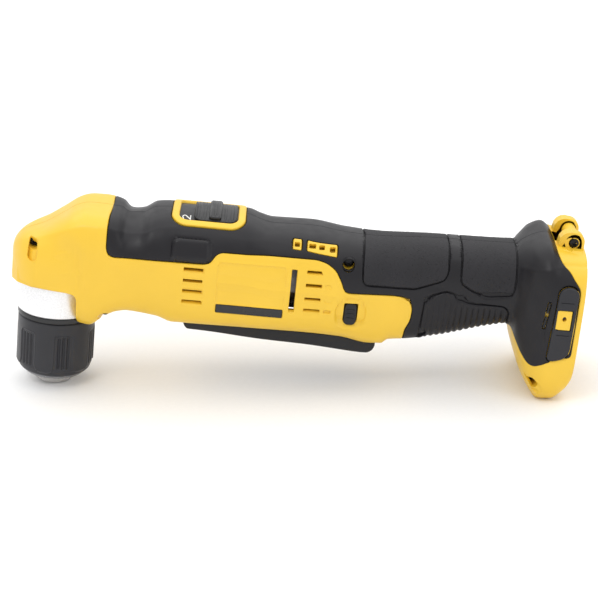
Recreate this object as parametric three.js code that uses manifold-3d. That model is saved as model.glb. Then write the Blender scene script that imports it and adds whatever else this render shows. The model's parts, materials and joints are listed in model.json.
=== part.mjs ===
// Right-angle cordless drill, bare tool, standing on its chuck nose and on the foot of its battery base.
//
// The parts are drawn in the drill's own frame: the chuck axis is x = 0, y = 0, the nose face is z = 0,
// +X runs back to the battery base, +Z runs up the chuck axis, and y = 0 is the seam of the two shells.
// The left side is y < 0. At the end the drill is tipped back until its foot also touches the floor.
import * as THREE from 'three';
import { mergeVertices } from 'three/addons/utils/BufferGeometryUtils.js';
import Module from 'manifold-3d';

const wasm = await Module();
wasm.setup();

// ---- Driving dimensions, millimetres ----

// clearances
const GAP = 0.3;              // between pieces that meet
const RUN_GAP = 0.5;          // around pieces that move
const SHAFT_FIT = 0.06;       // radial, shaft in bearing
const SLACK = 60;             // how far a cutting block overshoots

// housing
const WALL = 2.4;
const SKIN = 1.8;             // rubber overmould
const HEAD_REACH = 24.3;      // head front, ahead of the chuck axis
const HEAD_TOP = 100.6;
const HEAD_HALF_WIDTH = 24.6; // at the chuck axis
const HEAD_EDGE = 58.7;       // lower edge of the head, over the collar
const CHIN_X = 12.3;          // front edge of the chin behind the collar
const CHIN_BOTTOM = 38.2;
const NECK_X = 26.2;          // front edge of the overmould
const NECK_BOTTOM = 47.5;
const BODY_LENGTH = 123.8;    // neck to grip
const BODY_TOP = 102.5;
const BODY_BOTTOM = 43.9;
const BODY_HALF_WIDTH = 28.6;
const GRIP_LENGTH = 89.5;
const GRIP_TOP = 97.1;
const GRIP_HALF_WIDTH = 21.4;
const BASE_DEPTH = 31;
const BASE_TOP = 106.1;
const BASE_BOTTOM = 22.4;
const BASE_HALF_WIDTH = 36.8;
const GRIP_X = NECK_X + BODY_LENGTH;
const BASE_X = GRIP_X + GRIP_LENGTH;
const REAR_X = BASE_X + BASE_DEPTH;

// chuck
const NOSE_RADIUS = 9.5;
const NOSE_HEIGHT = 4.8;
const SLEEVE_RADIUS = 20.4;
const SLEEVE_WALL = 2.8;
const RIM_RADIUS = SLEEVE_RADIUS - SLEEVE_WALL - 0.4; // of the body inside the sleeve
const SLEEVE_BOTTOM = 6.8;
const SLEEVE_TOP = 38;
const TOOL_RADIUS = 5.3;      // bore for a 10 mm shank
const TOOL_DEPTH = 27;
const JAW_RADIUS = 3;
const JAW_LENGTH = 22;
const JAW_APEX = -8;          // where the jaw lines meet the chuck axis
const JAW_TRAVEL = 14;
const JAW_TIP_CLOSED = -5.6;
const JAW_COVER = 1.015;      // of the body, outside an open jaw's back end
const JAW_BACK = JAW_LENGTH + JAW_TRAVEL + 2.55; // from the apex to an open jaw's back end
const JAW_ANGLE = Math.asin((RIM_RADIUS - JAW_RADIUS - JAW_COVER) / JAW_BACK); // 20 degrees
const JAW_COUNT = 3;
const COLLAR_RADIUS = 21.5;
const COLLAR_BOTTOM = 41.5;

// drive line
const SHAFT_Z = 71.5;
const SPINDLE_RADIUS = 5;
const SPINDLE_TIP_RADIUS = 4;
const SPINDLE_TOP = 83;
const SPINDLE_BOTTOM = 29.5;
const CROWN_TEETH = 30;
const CROWN_RADIUS = 15.5;
const CROWN_INNER = 9.6;
const PINION_TEETH = 15;
const PINION_RADIUS = 8.3;
const PINION_X = 9.6;
const PINION_LENGTH = 10;
const PINION_SHAFT_RADIUS = 4;
const TOOTH_HEIGHT = 1.6;
const LOWER_BEARING = { inner: SPINDLE_RADIUS + SHAFT_FIT, outer: 11, low: 46, high: 52 };
const UPPER_BEARING = { inner: SPINDLE_TIP_RADIUS + SHAFT_FIT, outer: 7.2, low: 76.5, high: 81.5 };
const PINION_BEARING = { inner: PINION_SHAFT_RADIUS + SHAFT_FIT, outer: 9, low: 22, high: 28 };
const CROWN_BOTTOM = 55.6;
const CROWN_TOP = SHAFT_Z - PINION_RADIUS - GAP;
const CASE_RADIUS = 20.6;
const CASE_WALL = 1.5;
const CASE_X = 30.6;
const CASE_LENGTH = 31.4;
const SUN_TEETH = 12;
const PLANET_TEETH = 18;
const RING_TEETH = 48;
const RING_RIM = 2;           // behind the ring gear's pitch circle
const PLANET_MODULE = (2 * (CASE_RADIUS - CASE_WALL - GAP - RING_RIM)) / RING_TEETH;
const PLANET_COUNT = 3;
const GEAR_WIDTH = 6.4;
const PLANET_PIN_RADIUS = 2;
const FORK_X = CASE_X + CASE_LENGTH - 8;
const FORK_WIDTH = 4;
const FORK_TOP = SHAFT_Z + CASE_RADIUS + 3.2;
const FORK_ARCH = 1.35;       // thickness of the fork's arch over the gear case
const PLANET_X = 52;
const MOTOR_SHAFT_RADIUS = 1.6;
const FAN_X = 68;
const FAN_LENGTH = 8;
const FAN_RADIUS = 17;
const FAN_BLADES = 9;
const MOTOR_RADIUS = 18.3;
const MOTOR_WALL = 1.5;
const MOTOR_X = 78;
const END_CAP_LENGTH = 13;
const MOTOR_TO_BUTTON = 8;    // end cap to the direction button's slot
const ARMATURE_RADIUS = 12.8;
const ARMATURE_POLES = 5;
const MAGNET_THICKNESS = 2.6;
const COMMUTATOR_RADIUS = 4.6;
const BRUSH_REACH = 12.5;

// controls
const SELECTOR_X = 76.9;      // middle of the gear selector's frame
const SELECTOR_LENGTH = 38.2;
const SELECTOR_HALF_WIDTH = 18.4;
const SELECTOR_FRAME = 3.9;
const SELECTOR_PROUD = 0.8;
const SLIDER_LENGTH = 22.6;
const SELECTOR_TRAVEL = 7;
const SLIDER_REAR = SELECTOR_X + SELECTOR_LENGTH / 2 - SELECTOR_FRAME - RUN_GAP;
const KNOB_LENGTH = 6;
const STEM_X = SELECTOR_X + 3.2; // the slider's stem, down to the shift fork
const STEM_LENGTH = 5;
const STEM_HALF_WIDTH = 2.5;
const PADDLE_X = 70.5;
const PADDLE_LENGTH = 99.6;
const PADDLE_HALF_WIDTH = 15;
const PADDLE_WALL = 2.4;
const PADDLE_FRONT_BOTTOM = 39.6;
const PADDLE_REAR_BOTTOM = 34.6;
const PADDLE_TOP = 45.4;
const RIB_X = PADDLE_X + PADDLE_LENGTH - 9.4;
const SPRING_X = PADDLE_X + PADDLE_LENGTH - 5.3;
const PIVOT_X = 73.5;
const PIVOT_Z = 50.3;
const PIN_RADIUS = 1.5;
const LUG_WALL = 4;           // the housing's lugs beside the paddle
const BUTTON_X = GRIP_X + 4.3;
const BUTTON_Z = 61;
const BUTTON_WIDTH = 6.8;
const BUTTON_HEIGHT = 12.4;
const BUTTON_HALF_LENGTH = 25.4;
const BUTTON_GAP = 0.35;      // around the button where it slides through the housing

// where the motor ends, ahead of the direction button
const MOTOR_END = BUTTON_X - BUTTON_WIDTH / 2 - MOTOR_TO_BUTTON;
const END_CAP_X = MOTOR_END - END_CAP_LENGTH;
const CAN_END = END_CAP_X - GAP;

// switch, battery contacts
const SWITCH_X = BUTTON_X + BUTTON_WIDTH / 2 + 2.2;
const SWITCH_LENGTH = 26;
const SWITCH_HALF_WIDTH = 9;
const SWITCH_BOTTOM = 54;
const SWITCH_TOP = 75;
const CHANNEL_FLOOR = 13.5;   // battery channel floor, ahead of the base's rear face
const CHANNEL_HALF_WIDTH = 21;
const CAVITY_REAR = REAR_X - CHANNEL_FLOOR - WALL;
const CHANNEL_TOP = 96;
const RAIL_REACH = 3;
const RAIL_THICKNESS = 4.2;
const BLOCK_HALF_WIDTH = 13;
const BLOCK_BOTTOM = 58;
const BLOCK_TOP = 88;
const BLOCK_FRONT = CAVITY_REAR - 6;
const BLOCK_REAR = REAR_X - CHANNEL_FLOOR + 5;
const BLADE_SLOT_DEPTH = 9;
const BLADE_HALF_THICKNESS = 0.5;
const BLADE_TOP = BLOCK_TOP - 6;
const BLADE_COUNT = 3;
const BLADE_SPACING = 8;
const LEAD_RADIUS = 1.3;
const LED_X = NECK_X + 7.3;
const LED_RADIUS = 2.3;

// small pieces
const SCREW_HEAD_RADIUS = 2.7;
const SCREW_HEAD_HEIGHT = 2.4;
const SCREW_RADIUS = 1.5;
const SCREW_REACH = 7;         // how far the screws reach into the right shell
const BOSS_RADIUS = 4.1;
const EAR_RADIUS = 6;
const EAR_INSIDE = 7.6;
const EAR_OUTSIDE = 14;
const EAR_X = REAR_X - 6;
const EAR_Z = 106.9;
const NOTCH_X = BASE_X + 17.8; // front of the gap between the ears
const HANG_BAR_RADIUS = 3.6;
const LABEL_DEPTH = 0.6;
const PAD_PROUD = 0.8;
const PAD_DEPTH = 2.4;

const STAND_TILT = THREE.MathUtils.degToRad(5.5);

// ---- Materials ----

const finish = (color, roughness, metalness = 0) =>
  new THREE.MeshStandardMaterial({ color, roughness, metalness });
const yellow = finish(0xf2bf1d, 0.45);
const rubber = finish(0x2b2c2e, 0.75);
const blackPlastic = finish(0x1c1d1f, 0.5);
const sleevePlastic = finish(0x3a3c3f, 0.55);
const steel = finish(0x9b9ea1, 0.35, 1);
const darkSteel = finish(0x55585c, 0.4, 1);
const aluminium = finish(0xd4d6d8, 0.3, 1);
const copper = finish(0xb4693a, 0.4, 1);
const lens = finish(0xf2f5ea, 0.15);
const redLead = finish(0xa8231c, 0.6);
const blackLead = finish(0x161616, 0.6);
const graphite = finish(0x2a2a2c, 0.8);

// ---- Solids ----

function signedVolume(positions, indices) {
  const [a, b, c] = [new THREE.Vector3(), new THREE.Vector3(), new THREE.Vector3()];
  let sum = 0;
  for (let i = 0; i < indices.length; i += 3) {
    a.fromArray(positions, 3 * indices[i]);
    b.fromArray(positions, 3 * indices[i + 1]);
    c.fromArray(positions, 3 * indices[i + 2]);
    sum += a.dot(b.cross(c)) / 6;
  }
  return sum;
}

function solid(geometry) {
  const bare = geometry.index ? geometry.clone() : geometry;
  bare.deleteAttribute('normal');
  bare.deleteAttribute('uv');
  const merged = mergeVertices(bare, 1e-4);
  const vertProperties = new Float32Array(merged.attributes.position.array);
  const corners = withoutSlivers(Array.from(merged.index.array));
  if (signedVolume(vertProperties, corners) < 0) {
    corners.reverse();
  }
  const triVerts = new Uint32Array(corners);
  return new wasm.Manifold(new wasm.Mesh({ numProp: 3, vertProperties, triVerts }));
}

function withoutSlivers(corners) {
  const kept = [];
  for (let i = 0; i < corners.length; i += 3) {
    const [a, b, c] = corners.slice(i, i + 3);
    if (a !== b && b !== c && c !== a) {
      kept.push(a, b, c);
    }
  }
  return kept;
}

function toGeometry(body) {
  const mesh = body.getMesh();
  const geometry = new THREE.BufferGeometry();
  geometry.setAttribute('position', new THREE.BufferAttribute(mesh.vertProperties, 3));
  geometry.setIndex(new THREE.BufferAttribute(mesh.triVerts, 1));
  geometry.computeVertexNormals();
  return geometry;
}

const joined = (bodies) => bodies.reduce((whole, next) => whole.add(next));
const cutBy = (body, tools) => tools.reduce((left, tool) => left.subtract(tool), body);

function box(x0, x1, y0, y1, z0, z1) {
  const geometry = new THREE.BoxGeometry(x1 - x0, y1 - y0, z1 - z0);
  geometry.translate((x0 + x1) / 2, (y0 + y1) / 2, (z0 + z1) / 2);
  return solid(geometry);
}

// Round bar along an axis, 'x', 'y' or 'z', from one place to another, through the point given.
function rod(axis, radius, from, to, through, sides = 24) {
  const geometry = new THREE.CylinderGeometry(radius, radius, to - from, sides);
  geometry.translate(0, (from + to) / 2, 0);
  if (axis === 'x') {
    geometry.rotateZ(-Math.PI / 2);
  }
  if (axis === 'z') {
    geometry.rotateX(Math.PI / 2);
  }
  geometry.translate(...through);
  return solid(geometry);
}

// Turned about the chuck axis: the profile is [radius, z] points that close on themselves or on the axis.
function turned(profile, sides = 28) {
  const geometry = new THREE.LatheGeometry(profile.map(([r, z]) => new THREE.Vector2(r, z)), sides);
  geometry.rotateX(Math.PI / 2);
  return solid(geometry);
}

// Turned about the motor's axis: the profile is [x, radius] points.
function turnedOnShaft(profile, sides = 28) {
  const geometry = new THREE.LatheGeometry(profile.map(([x, r]) => new THREE.Vector2(r, x)), sides);
  geometry.rotateZ(-Math.PI / 2);
  geometry.translate(0, 0, SHAFT_Z);
  return solid(geometry);
}

const ring = (inner, outer, low, high) =>
  [[inner, low], [outer, low], [outer, high], [inner, high], [inner, low]];
const ringOnShaft = (inner, outer, low, high) => ring(inner, outer, low, high).map(([r, x]) => [x, r]);
const washer = (inner, outer, low, high, sides) => turned(ring(inner, outer, low, high), sides);
const washerOnShaft = (inner, outer, low, high, sides) =>
  turnedOnShaft(ringOnShaft(inner, outer, low, high), sides);

// Side outline of [x, z] points, run across the drill from y0 to y1.
function sidePrism(outline, y0, y1) {
  const shape = new THREE.Shape(outline.map(([x, z]) => new THREE.Vector2(x, z)));
  const geometry = new THREE.ExtrudeGeometry(shape, { depth: y1 - y0, bevelEnabled: false });
  geometry.rotateX(Math.PI / 2);
  geometry.translate(0, y1, 0);
  return solid(geometry);
}

// Plan outline, a THREE.Shape in x and y, run up from z0 to z1.
function planPrism(shape, z0, z1) {
  const settings = { depth: z1 - z0, bevelEnabled: false, curveSegments: 3 };
  const geometry = new THREE.ExtrudeGeometry(shape, settings);
  geometry.translate(0, 0, z0);
  return solid(geometry);
}

function roundedRectangle(x0, x1, y0, y1, radius) {
  const shape = new THREE.Shape();
  shape.absarc(x1 - radius, y1 - radius, radius, 0, Math.PI / 2);
  shape.absarc(x0 + radius, y1 - radius, radius, Math.PI / 2, Math.PI);
  shape.absarc(x0 + radius, y0 + radius, radius, Math.PI, 1.5 * Math.PI);
  shape.absarc(x1 - radius, y0 + radius, radius, 1.5 * Math.PI, 2 * Math.PI);
  return shape;
}

// The outline moved outwards by a distance, corner by corner; the outline runs clockwise.
function grown(outline, distance) {
  return outline.map((point, i) => {
    const here = new THREE.Vector2(...point);
    const before = new THREE.Vector2(...outline.at(i - 1));
    const after = new THREE.Vector2(...outline[(i + 1) % outline.length]);
    const incoming = here.clone().sub(before).normalize();
    const outgoing = after.sub(here).normalize();
    const across = incoming.clone().add(outgoing).normalize();
    const reach = distance / Math.max(0.4, across.dot(incoming));
    return [here.x - across.y * reach, here.y + across.x * reach];
  });
}

// ---- The housing's form ----

// Smooth line through [x, value] points that never overshoots them.
function smoothLine(points) {
  const slope = (i) => (points[i + 1][1] - points[i][1]) / (points[i + 1][0] - points[i][0]);
  const tangent = (i) => {
    if (i === 0 || i === points.length - 1) {
      return slope(Math.min(i, points.length - 2));
    }
    const [before, after] = [slope(i - 1), slope(i)];
    return before * after > 0 ? (2 * before * after) / (before + after) : 0;
  };
  return (x) => {
    const last = points.length - 2;
    const after = points.findIndex((point) => point[0] > x);
    const i = after < 0 ? last : Math.max(0, after - 1);
    const width = points[i + 1][0] - points[i][0];
    const t = THREE.MathUtils.clamp((x - points[i][0]) / width, 0, 1);
    const [a, b] = [points[i][1], points[i + 1][1]];
    const rise = (1 + 2 * t) * (1 - t) ** 2 * a + t * t * (3 - 2 * t) * b;
    return rise + t * (1 - t) ** 2 * width * tangent(i) + t * t * (t - 1) * width * tangent(i + 1);
  };
}

const topLine = smoothLine([
  [-HEAD_REACH, HEAD_TOP - 27.5], [-22, HEAD_TOP - 21.7], [-14, HEAD_TOP - 16.9], [-10, HEAD_TOP - 14.9],
  [0, HEAD_TOP - 7.7], [9, HEAD_TOP - 1.7], [16, HEAD_TOP], [NECK_X, HEAD_TOP - 0.2],
  [NECK_X + 9, GRIP_TOP + 0.5], [NECK_X + 16, GRIP_TOP + 0.6], [NECK_X + 23, BODY_TOP - 0.8],
  [NECK_X + 31, BODY_TOP], [SELECTOR_X + 20, BODY_TOP - 0.1], [SELECTOR_X + 27, BODY_TOP - 2.3],
  [GRIP_X - 40, GRIP_TOP + 1.7], [GRIP_X - 19, GRIP_TOP + 2.2], [GRIP_X, GRIP_TOP + 0.1],
  [GRIP_X + 12, GRIP_TOP - 0.3], [BASE_X - 45, GRIP_TOP + 1.4], [BASE_X - 2, GRIP_TOP + 2.5],
  [BASE_X + 3, BASE_TOP - 4.8], [BASE_X + 7.5, BASE_TOP - 2], [BASE_X + 14, BASE_TOP],
  [REAR_X, BASE_TOP - 0.8],
]);

const bottomLine = smoothLine([
  [-HEAD_REACH, NECK_BOTTOM - 2.4], [9, NECK_BOTTOM - 5.4], [14, CHIN_BOTTOM + 0.5], [19, CHIN_BOTTOM],
  [NECK_X, NECK_BOTTOM - 3.8], [NECK_X + 6, NECK_BOTTOM - 0.7], [NECK_X + 12, NECK_BOTTOM],
  [NECK_X + 27, NECK_BOTTOM - 0.9], [NECK_X + 36, BODY_BOTTOM], [GRIP_X - 18, BODY_BOTTOM + 0.8],
  [GRIP_X, BODY_BOTTOM], [GRIP_X + 16, BODY_BOTTOM - 3], [GRIP_X + 22.5, BODY_BOTTOM - 3],
  [GRIP_X + 26, BODY_BOTTOM + 0.5], [GRIP_X + 36, BODY_BOTTOM + 1.8], [BASE_X - 36, BODY_BOTTOM + 5.6],
  [BASE_X - 11, BODY_BOTTOM + 13.6], [BASE_X - 4, BODY_BOTTOM + 14.8], [BASE_X, BODY_BOTTOM + 12.6],
  [BASE_X + 2.5, BASE_BOTTOM + 25.4], [BASE_X + 5, BASE_BOTTOM + 18.9], [BASE_X + 8, BASE_BOTTOM + 12.2],
  [BASE_X + 14, BASE_BOTTOM + 3.2], [BASE_X + 17, BASE_BOTTOM], [BASE_X + 24, BASE_BOTTOM + 0.6],
  [REAR_X - 2.5, BASE_BOTTOM + 7], [REAR_X, BASE_BOTTOM + 12],
]);

const halfWidth = smoothLine([
  [-HEAD_REACH, 4], [-23.8, 8], [-22, 12.5], [-18.5, 17], [-14, 20.2], [-10, 22.3], [0, HEAD_HALF_WIDTH],
  [14, BODY_HALF_WIDTH - 1.4], [NECK_X, BODY_HALF_WIDTH - 0.4], [NECK_X + 30, BODY_HALF_WIDTH],
  [GRIP_X - 19, BODY_HALF_WIDTH - 0.2], [GRIP_X, BODY_HALF_WIDTH - 1.4], [GRIP_X + 25, GRIP_HALF_WIDTH + 2.6],
  [BASE_X - 45, GRIP_HALF_WIDTH + 0.9], [BASE_X - 11, GRIP_HALF_WIDTH], [BASE_X - 2, GRIP_HALF_WIDTH + 0.7],
  [BASE_X + 2.5, GRIP_HALF_WIDTH + 4.4], [BASE_X + 7.5, BASE_HALF_WIDTH - 6],
  [BASE_X + 14, BASE_HALF_WIDTH - 1.4], [BASE_X + 19, BASE_HALF_WIDTH], [REAR_X - 2.5, BASE_HALF_WIDTH],
  [REAR_X, BASE_HALF_WIDTH - 0.6],
]);

// How square the section is above and below its middle: 2 is an ellipse.
const squarenessAbove = smoothLine([[-HEAD_REACH, 2.6], [19, 2.6], [NECK_X + 8, 2.3], [BASE_X, 2.3],
  [BASE_X + 14, 3.1], [REAR_X, 3.2]]);
const squarenessBelow = smoothLine([[-HEAD_REACH, 2.4], [10, 3.2], [NECK_X, 3], [NECK_X + 12, 2.4],
  [BASE_X, 2.4], [BASE_X + 12, 5], [REAR_X, 6]]);

const evenly = (from, to, count) => Array.from({ length: count }, (_, i) => from + ((to - from) * i) / count);

const HOUSING_STATIONS = [
  -HEAD_REACH, -23.4, -20, -12, 0, 9, 14, 20,
  ...evenly(NECK_X, NECK_X + 32, 6), ...evenly(NECK_X + 32, SELECTOR_X + 18, 2),
  ...evenly(SELECTOR_X + 18, SELECTOR_X + 34, 3), ...evenly(SELECTOR_X + 34, GRIP_X + 14, 3),
  ...evenly(GRIP_X + 14, GRIP_X + 28, 4), ...evenly(GRIP_X + 28, BASE_X - 2, 3),
  BASE_X - 2, BASE_X + 1, BASE_X + 4, BASE_X + 8, BASE_X + 13, BASE_X + 18, BASE_X + 24,
  REAR_X - 2.5, REAR_X,
];

function superellipse(angle, power) {
  const bend = (value) => Math.sign(value) * Math.abs(value) ** (2 / power);
  return [bend(Math.cos(angle)), bend(Math.sin(angle))];
}

// The housing's outer form pulled in by an inset, as a drum whose rings are moved onto the sections.
function housingForm(inset, sides, rearEnd = REAR_X, bottomInset = () => inset) {
  const front = -HEAD_REACH + inset;
  const middle = HOUSING_STATIONS.filter((x) => x > front + 0.3 && x < rearEnd - 0.3);
  const stations = [front, ...middle, rearEnd];
  const drum = new THREE.CylinderGeometry(1, 1, 1, sides, stations.length - 1);
  const place = drum.attributes.position;
  for (let i = 0; i < place.count; i += 1) {
    const x = stations[Math.round((0.5 - place.getY(i)) * (stations.length - 1))];
    const reach = Math.hypot(place.getX(i), place.getZ(i));
    const angle = Math.atan2(place.getZ(i), place.getX(i));
    const low = bottomLine(x) + bottomInset(x);
    const high = topLine(x) - inset;
    const power = Math.sin(angle) > 0 ? squarenessAbove(x) : squarenessBelow(x);
    const [across, up] = superellipse(angle, power);
    const wide = Math.max(1, halfWidth(x) - inset);
    place.setXYZ(i, x, across * wide * reach, (low + high) / 2 + (up * reach * (high - low)) / 2);
  }
  return solid(drum);
}

const SIDES = 20;
const outerForm = housingForm(0, SIDES);
const skinBackForm = housingForm(SKIN, SIDES);
const rebateForm = housingForm(SKIN + GAP, SIDES);
const cavityInset = SKIN + GAP + WALL;
// the body's underside has no overmould, so its wall is thinner
const cavityForm = housingForm(cavityInset, 12, CAVITY_REAR, (x) => (x < GRIP_X + 30 ? WALL : cavityInset));

const OVERMOULD_OUTLINE = [
  [NECK_X, BASE_TOP + 20], [BASE_X + 17.2, BASE_TOP + 20], [BASE_X + 17.5, 104.1], [BASE_X + 20.5, 99.8],
  [BASE_X + 24, 97.5], [BASE_X + 25.5, 93.8], [BASE_X + 28.4, 90.4], [BASE_X + 28.4, 51],
  [BASE_X + 19.4, 49.3], [BASE_X + 13, 44.4], [BASE_X + 9.5, 44.4], [BASE_X + 5.9, 48.1], [BASE_X + 1, 58],
  [BASE_X - 1, 60],
  [BASE_X - 1, BASE_BOTTOM], [GRIP_X + 33.7, BASE_BOTTOM], [GRIP_X + 33.7, 54], [GRIP_X + 35.6, 59.5],
  [GRIP_X + 36.2, 66.4], [GRIP_X + 34.5, 70.2], [GRIP_X + 29, 72.7], [GRIP_X + 1.5, 72.9], [GRIP_X - 0.6, 75],
  [GRIP_X - 4, 82.5], [GRIP_X - 9, 87.2], [GRIP_X - 15.5, 89.3], [SELECTOR_X + 8.3, 89.2],
  [SELECTOR_X + 5.4, 87.4], [SELECTOR_X + 2, 82.4], [NECK_X + 4, 81.8], [NECK_X + 1.3, 82.8], [NECK_X, 86],
];
const PAD_OUTLINE = [
  [REAR_X - 12.2, 86.5], [REAR_X - 10, 89.6], [REAR_X - 6.2, 90.4], [REAR_X - 3, 88], [REAR_X - 2.8, 56],
  [REAR_X - 3.8, 52.4], [REAR_X - 7.5, 50], [REAR_X - 11.5, 49.8], [REAR_X - 13.3, 52.5],
];
const BOSS_BOX = { x0: REAR_X - 11.2, x1: REAR_X - 4.8, z0: 68, z1: 78 };
const WINDOW_OUTLINES = [
  [[GRIP_X - 28.8, 93], [GRIP_X - 28.8, 96.9], [GRIP_X - 24.2, 96.9], [GRIP_X - 24.2, 92.8]],
  [[GRIP_X - 21.4, 92.8], [GRIP_X - 21.4, 96.7], [GRIP_X - 5.6, 95.3], [GRIP_X - 5.6, 90.8]],
];
const WINDOW_HOLES = [GRIP_X - 26.5, GRIP_X - 18.7, GRIP_X - 13.6, GRIP_X - 8.4];
const LABEL_OUTLINE = [
  [SELECTOR_X + 7.4, 61], [SELECTOR_X + 42.2, 61], [SELECTOR_X + 42.2, 56.3], [SELECTOR_X + 7.4, 56.3],
];

const SCREW_PLACES = {
  head: [-12, 81.3], chin: [26.5, 46.2], body: [GRIP_X + 0.9, 87.5], grip: [GRIP_X + 41.8, 51.6],
  foot: [BASE_X + 13, 34.6], ear: [EAR_X, EAR_Z],
};
// how far out the screw heads sit, on the left side
const SCREW_SEATS = { head: 11, chin: 12, body: 17.5, grip: 8.6, foot: 21.5, ear: EAR_OUTSIDE - 2.6 };

const leftOf = (body) => body.intersect(box(-SLACK, REAR_X + SLACK, -SLACK, -GAP / 2, -SLACK, SLACK * 3));
const rightOf = (body) => body.intersect(box(-SLACK, REAR_X + SLACK, GAP / 2, SLACK, -SLACK, SLACK * 3));

// ---- Cuts that the housing pieces share ----

const screwEnd = (name) => (name === 'ear' ? EAR_OUTSIDE - 1.4 : SCREW_REACH);

function screwSolid(name) {
  const [x, z] = SCREW_PLACES[name];
  const seat = -SCREW_SEATS[name];
  const shank = rod('y', SCREW_RADIUS, seat - 0.1, screwEnd(name), [x, 0, z], 10);
  const head = rod('y', SCREW_HEAD_RADIUS, seat - SCREW_HEAD_HEIGHT, seat, [x, 0, z], 14);
  return head.add(shank);
}

function screwCut(name) {
  const [x, z] = SCREW_PLACES[name];
  const seat = -SCREW_SEATS[name] + GAP;
  const shank = rod('y', SCREW_RADIUS + GAP, seat - 0.1, screwEnd(name) + GAP, [x, 0, z], 10);
  const recess = rod('y', SCREW_HEAD_RADIUS + GAP, -SLACK, seat, [x, 0, z], 14);
  return recess.add(shank);
}

const screwCuts = () => Object.keys(SCREW_PLACES).map(screwCut);

function screwBosses() {
  return Object.entries(SCREW_PLACES).filter(([name]) => name !== 'ear').map(([, [x, z]]) =>
    rod('y', BOSS_RADIUS, -SLACK / 2, SLACK / 2, [x, 0, z], 12).intersect(rebateForm));
}

function ventSlots() {
  const slots = [79, 73, 67, 61].map((z) => [FAN_X - 1.4, FAN_X + 8.6, z - 0.85, z + 0.85]);
  slots.push([GRIP_X - 28, GRIP_X - 25.2, 60, 83.8]);
  [83, 75.9, 68.4, 61.9].forEach((z) => slots.push([GRIP_X - 20.3, GRIP_X - 12, z - 0.9, z + 0.9]));
  return slots.map(([x0, x1, z0, z1]) => box(x0, x1, -SLACK, SLACK, z0, z1));
}

const windowHoles = () => WINDOW_HOLES.map((x) => box(x - 1.6, x + 1.6, -SLACK, SLACK, 93.4, 95.2));

function batteryChannel() {
  const floor = REAR_X - CHANNEL_FLOOR;
  const half = CHANNEL_HALF_WIDTH;
  const wide = box(floor, REAR_X - RAIL_THICKNESS, -half, half, -SLACK, CHANNEL_TOP);
  const mouth = half - RAIL_REACH;
  const narrow = box(REAR_X - RAIL_THICKNESS - 1, REAR_X + SLACK, -mouth, mouth, -SLACK, CHANNEL_TOP);
  const blockRoom = BLOCK_HALF_WIDTH + GAP;
  const window = box(CAVITY_REAR - 1, floor + 1, -blockRoom, blockRoom, BLOCK_BOTTOM - GAP, BLOCK_TOP + GAP);
  return joined([wide, narrow, window]);
}

const hangNotch = () =>
  box(NOTCH_X, REAR_X + SLACK, -EAR_INSIDE, EAR_INSIDE, CHANNEL_TOP + WALL + 2, SLACK * 3);

function stemSlot() {
  const wide = STEM_HALF_WIDTH + RUN_GAP;
  const front = STEM_X - SELECTOR_TRAVEL - RUN_GAP;
  return box(front, STEM_X + STEM_LENGTH + RUN_GAP, -wide, wide, FORK_TOP - 4, SLACK * 3);
}

const paddleOpening = () => box(PADDLE_X - 0.6, PADDLE_X + PADDLE_LENGTH + 0.6, -PADDLE_HALF_WIDTH - RUN_GAP,
  PADDLE_HALF_WIDTH + RUN_GAP, -SLACK, PIVOT_Z + 3);

const padCut = () => {
  const outline = grown(PAD_OUTLINE, GAP);
  const deep = BASE_HALF_WIDTH - PAD_DEPTH + PAD_PROUD - GAP;
  return sidePrism(outline, deep, SLACK).add(sidePrism(outline, -SLACK, -deep));
};

function bossRoom() {
  const { x0, x1, z0, z1 } = BOSS_BOX;
  return box(x0 - GAP, x1 + GAP, -SLACK, SLACK, z0 - GAP, z1 + GAP);
}

// ---- Shells and overmould ----

function ribs() {
  const spans = [[CASE_X + 5, CASE_RADIUS], [MOTOR_X + 24, MOTOR_RADIUS]];
  return spans.map(([x, radius]) => {
    const slab = box(x, x + 2, -SLACK, SLACK, 0, SLACK * 2).intersect(rebateForm);
    return slab.subtract(rod('x', radius + GAP, x - 1, x + 3, [0, 0, SHAFT_Z], 28));
  });
}

function chinShroud() {
  const inner = Math.max(COLLAR_RADIUS, SLEEVE_RADIUS) + RUN_GAP;
  const band = washer(inner, inner + WALL, CHIN_BOTTOM - 5, HEAD_EDGE + 1, 32).intersect(outerForm);
  return band.intersect(box(CHIN_X, SLACK, -SLACK, SLACK, 0, HEAD_EDGE + 1));
}

function ears() {
  const points = Array.from({ length: 9 }, (_, i) => {
    const angle = Math.PI - (Math.PI * i) / 8;
    return [EAR_X + EAR_RADIUS * Math.cos(angle), EAR_Z + EAR_RADIUS * Math.sin(angle)];
  });
  const outline = [...points, [REAR_X, CHANNEL_TOP + 2], [EAR_X - EAR_RADIUS - 1, CHANNEL_TOP + 2]];
  const between = box(0, SLACK * 6, -EAR_INSIDE, EAR_INSIDE, 0, SLACK * 4);
  return sidePrism(outline, -EAR_OUTSIDE, EAR_OUTSIDE).subtract(between);
}

// The floor under the tipped drill: it passes through the rear edge of the nose face.
function floorCut() {
  const below = box(-SLACK, REAR_X + SLACK, -SLACK, SLACK, -SLACK, 0);
  return below.rotate([0, -THREE.MathUtils.radToDeg(STAND_TILT), 0]).translate([NOSE_RADIUS, 0, 0]);
}

const pivotRod = (radius, reach, sides) => rod('y', radius, -reach, reach, [PIVOT_X, 0, PIVOT_Z], sides);

function pivotLugs() {
  const wide = PADDLE_HALF_WIDTH + LUG_WALL;
  const lug = box(PIVOT_X - 3.5, PIVOT_X + 3.5, -wide, wide, PIVOT_Z - 3.4, PIVOT_Z + 2.6);
  return lug.intersect(outerForm);
}

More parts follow.
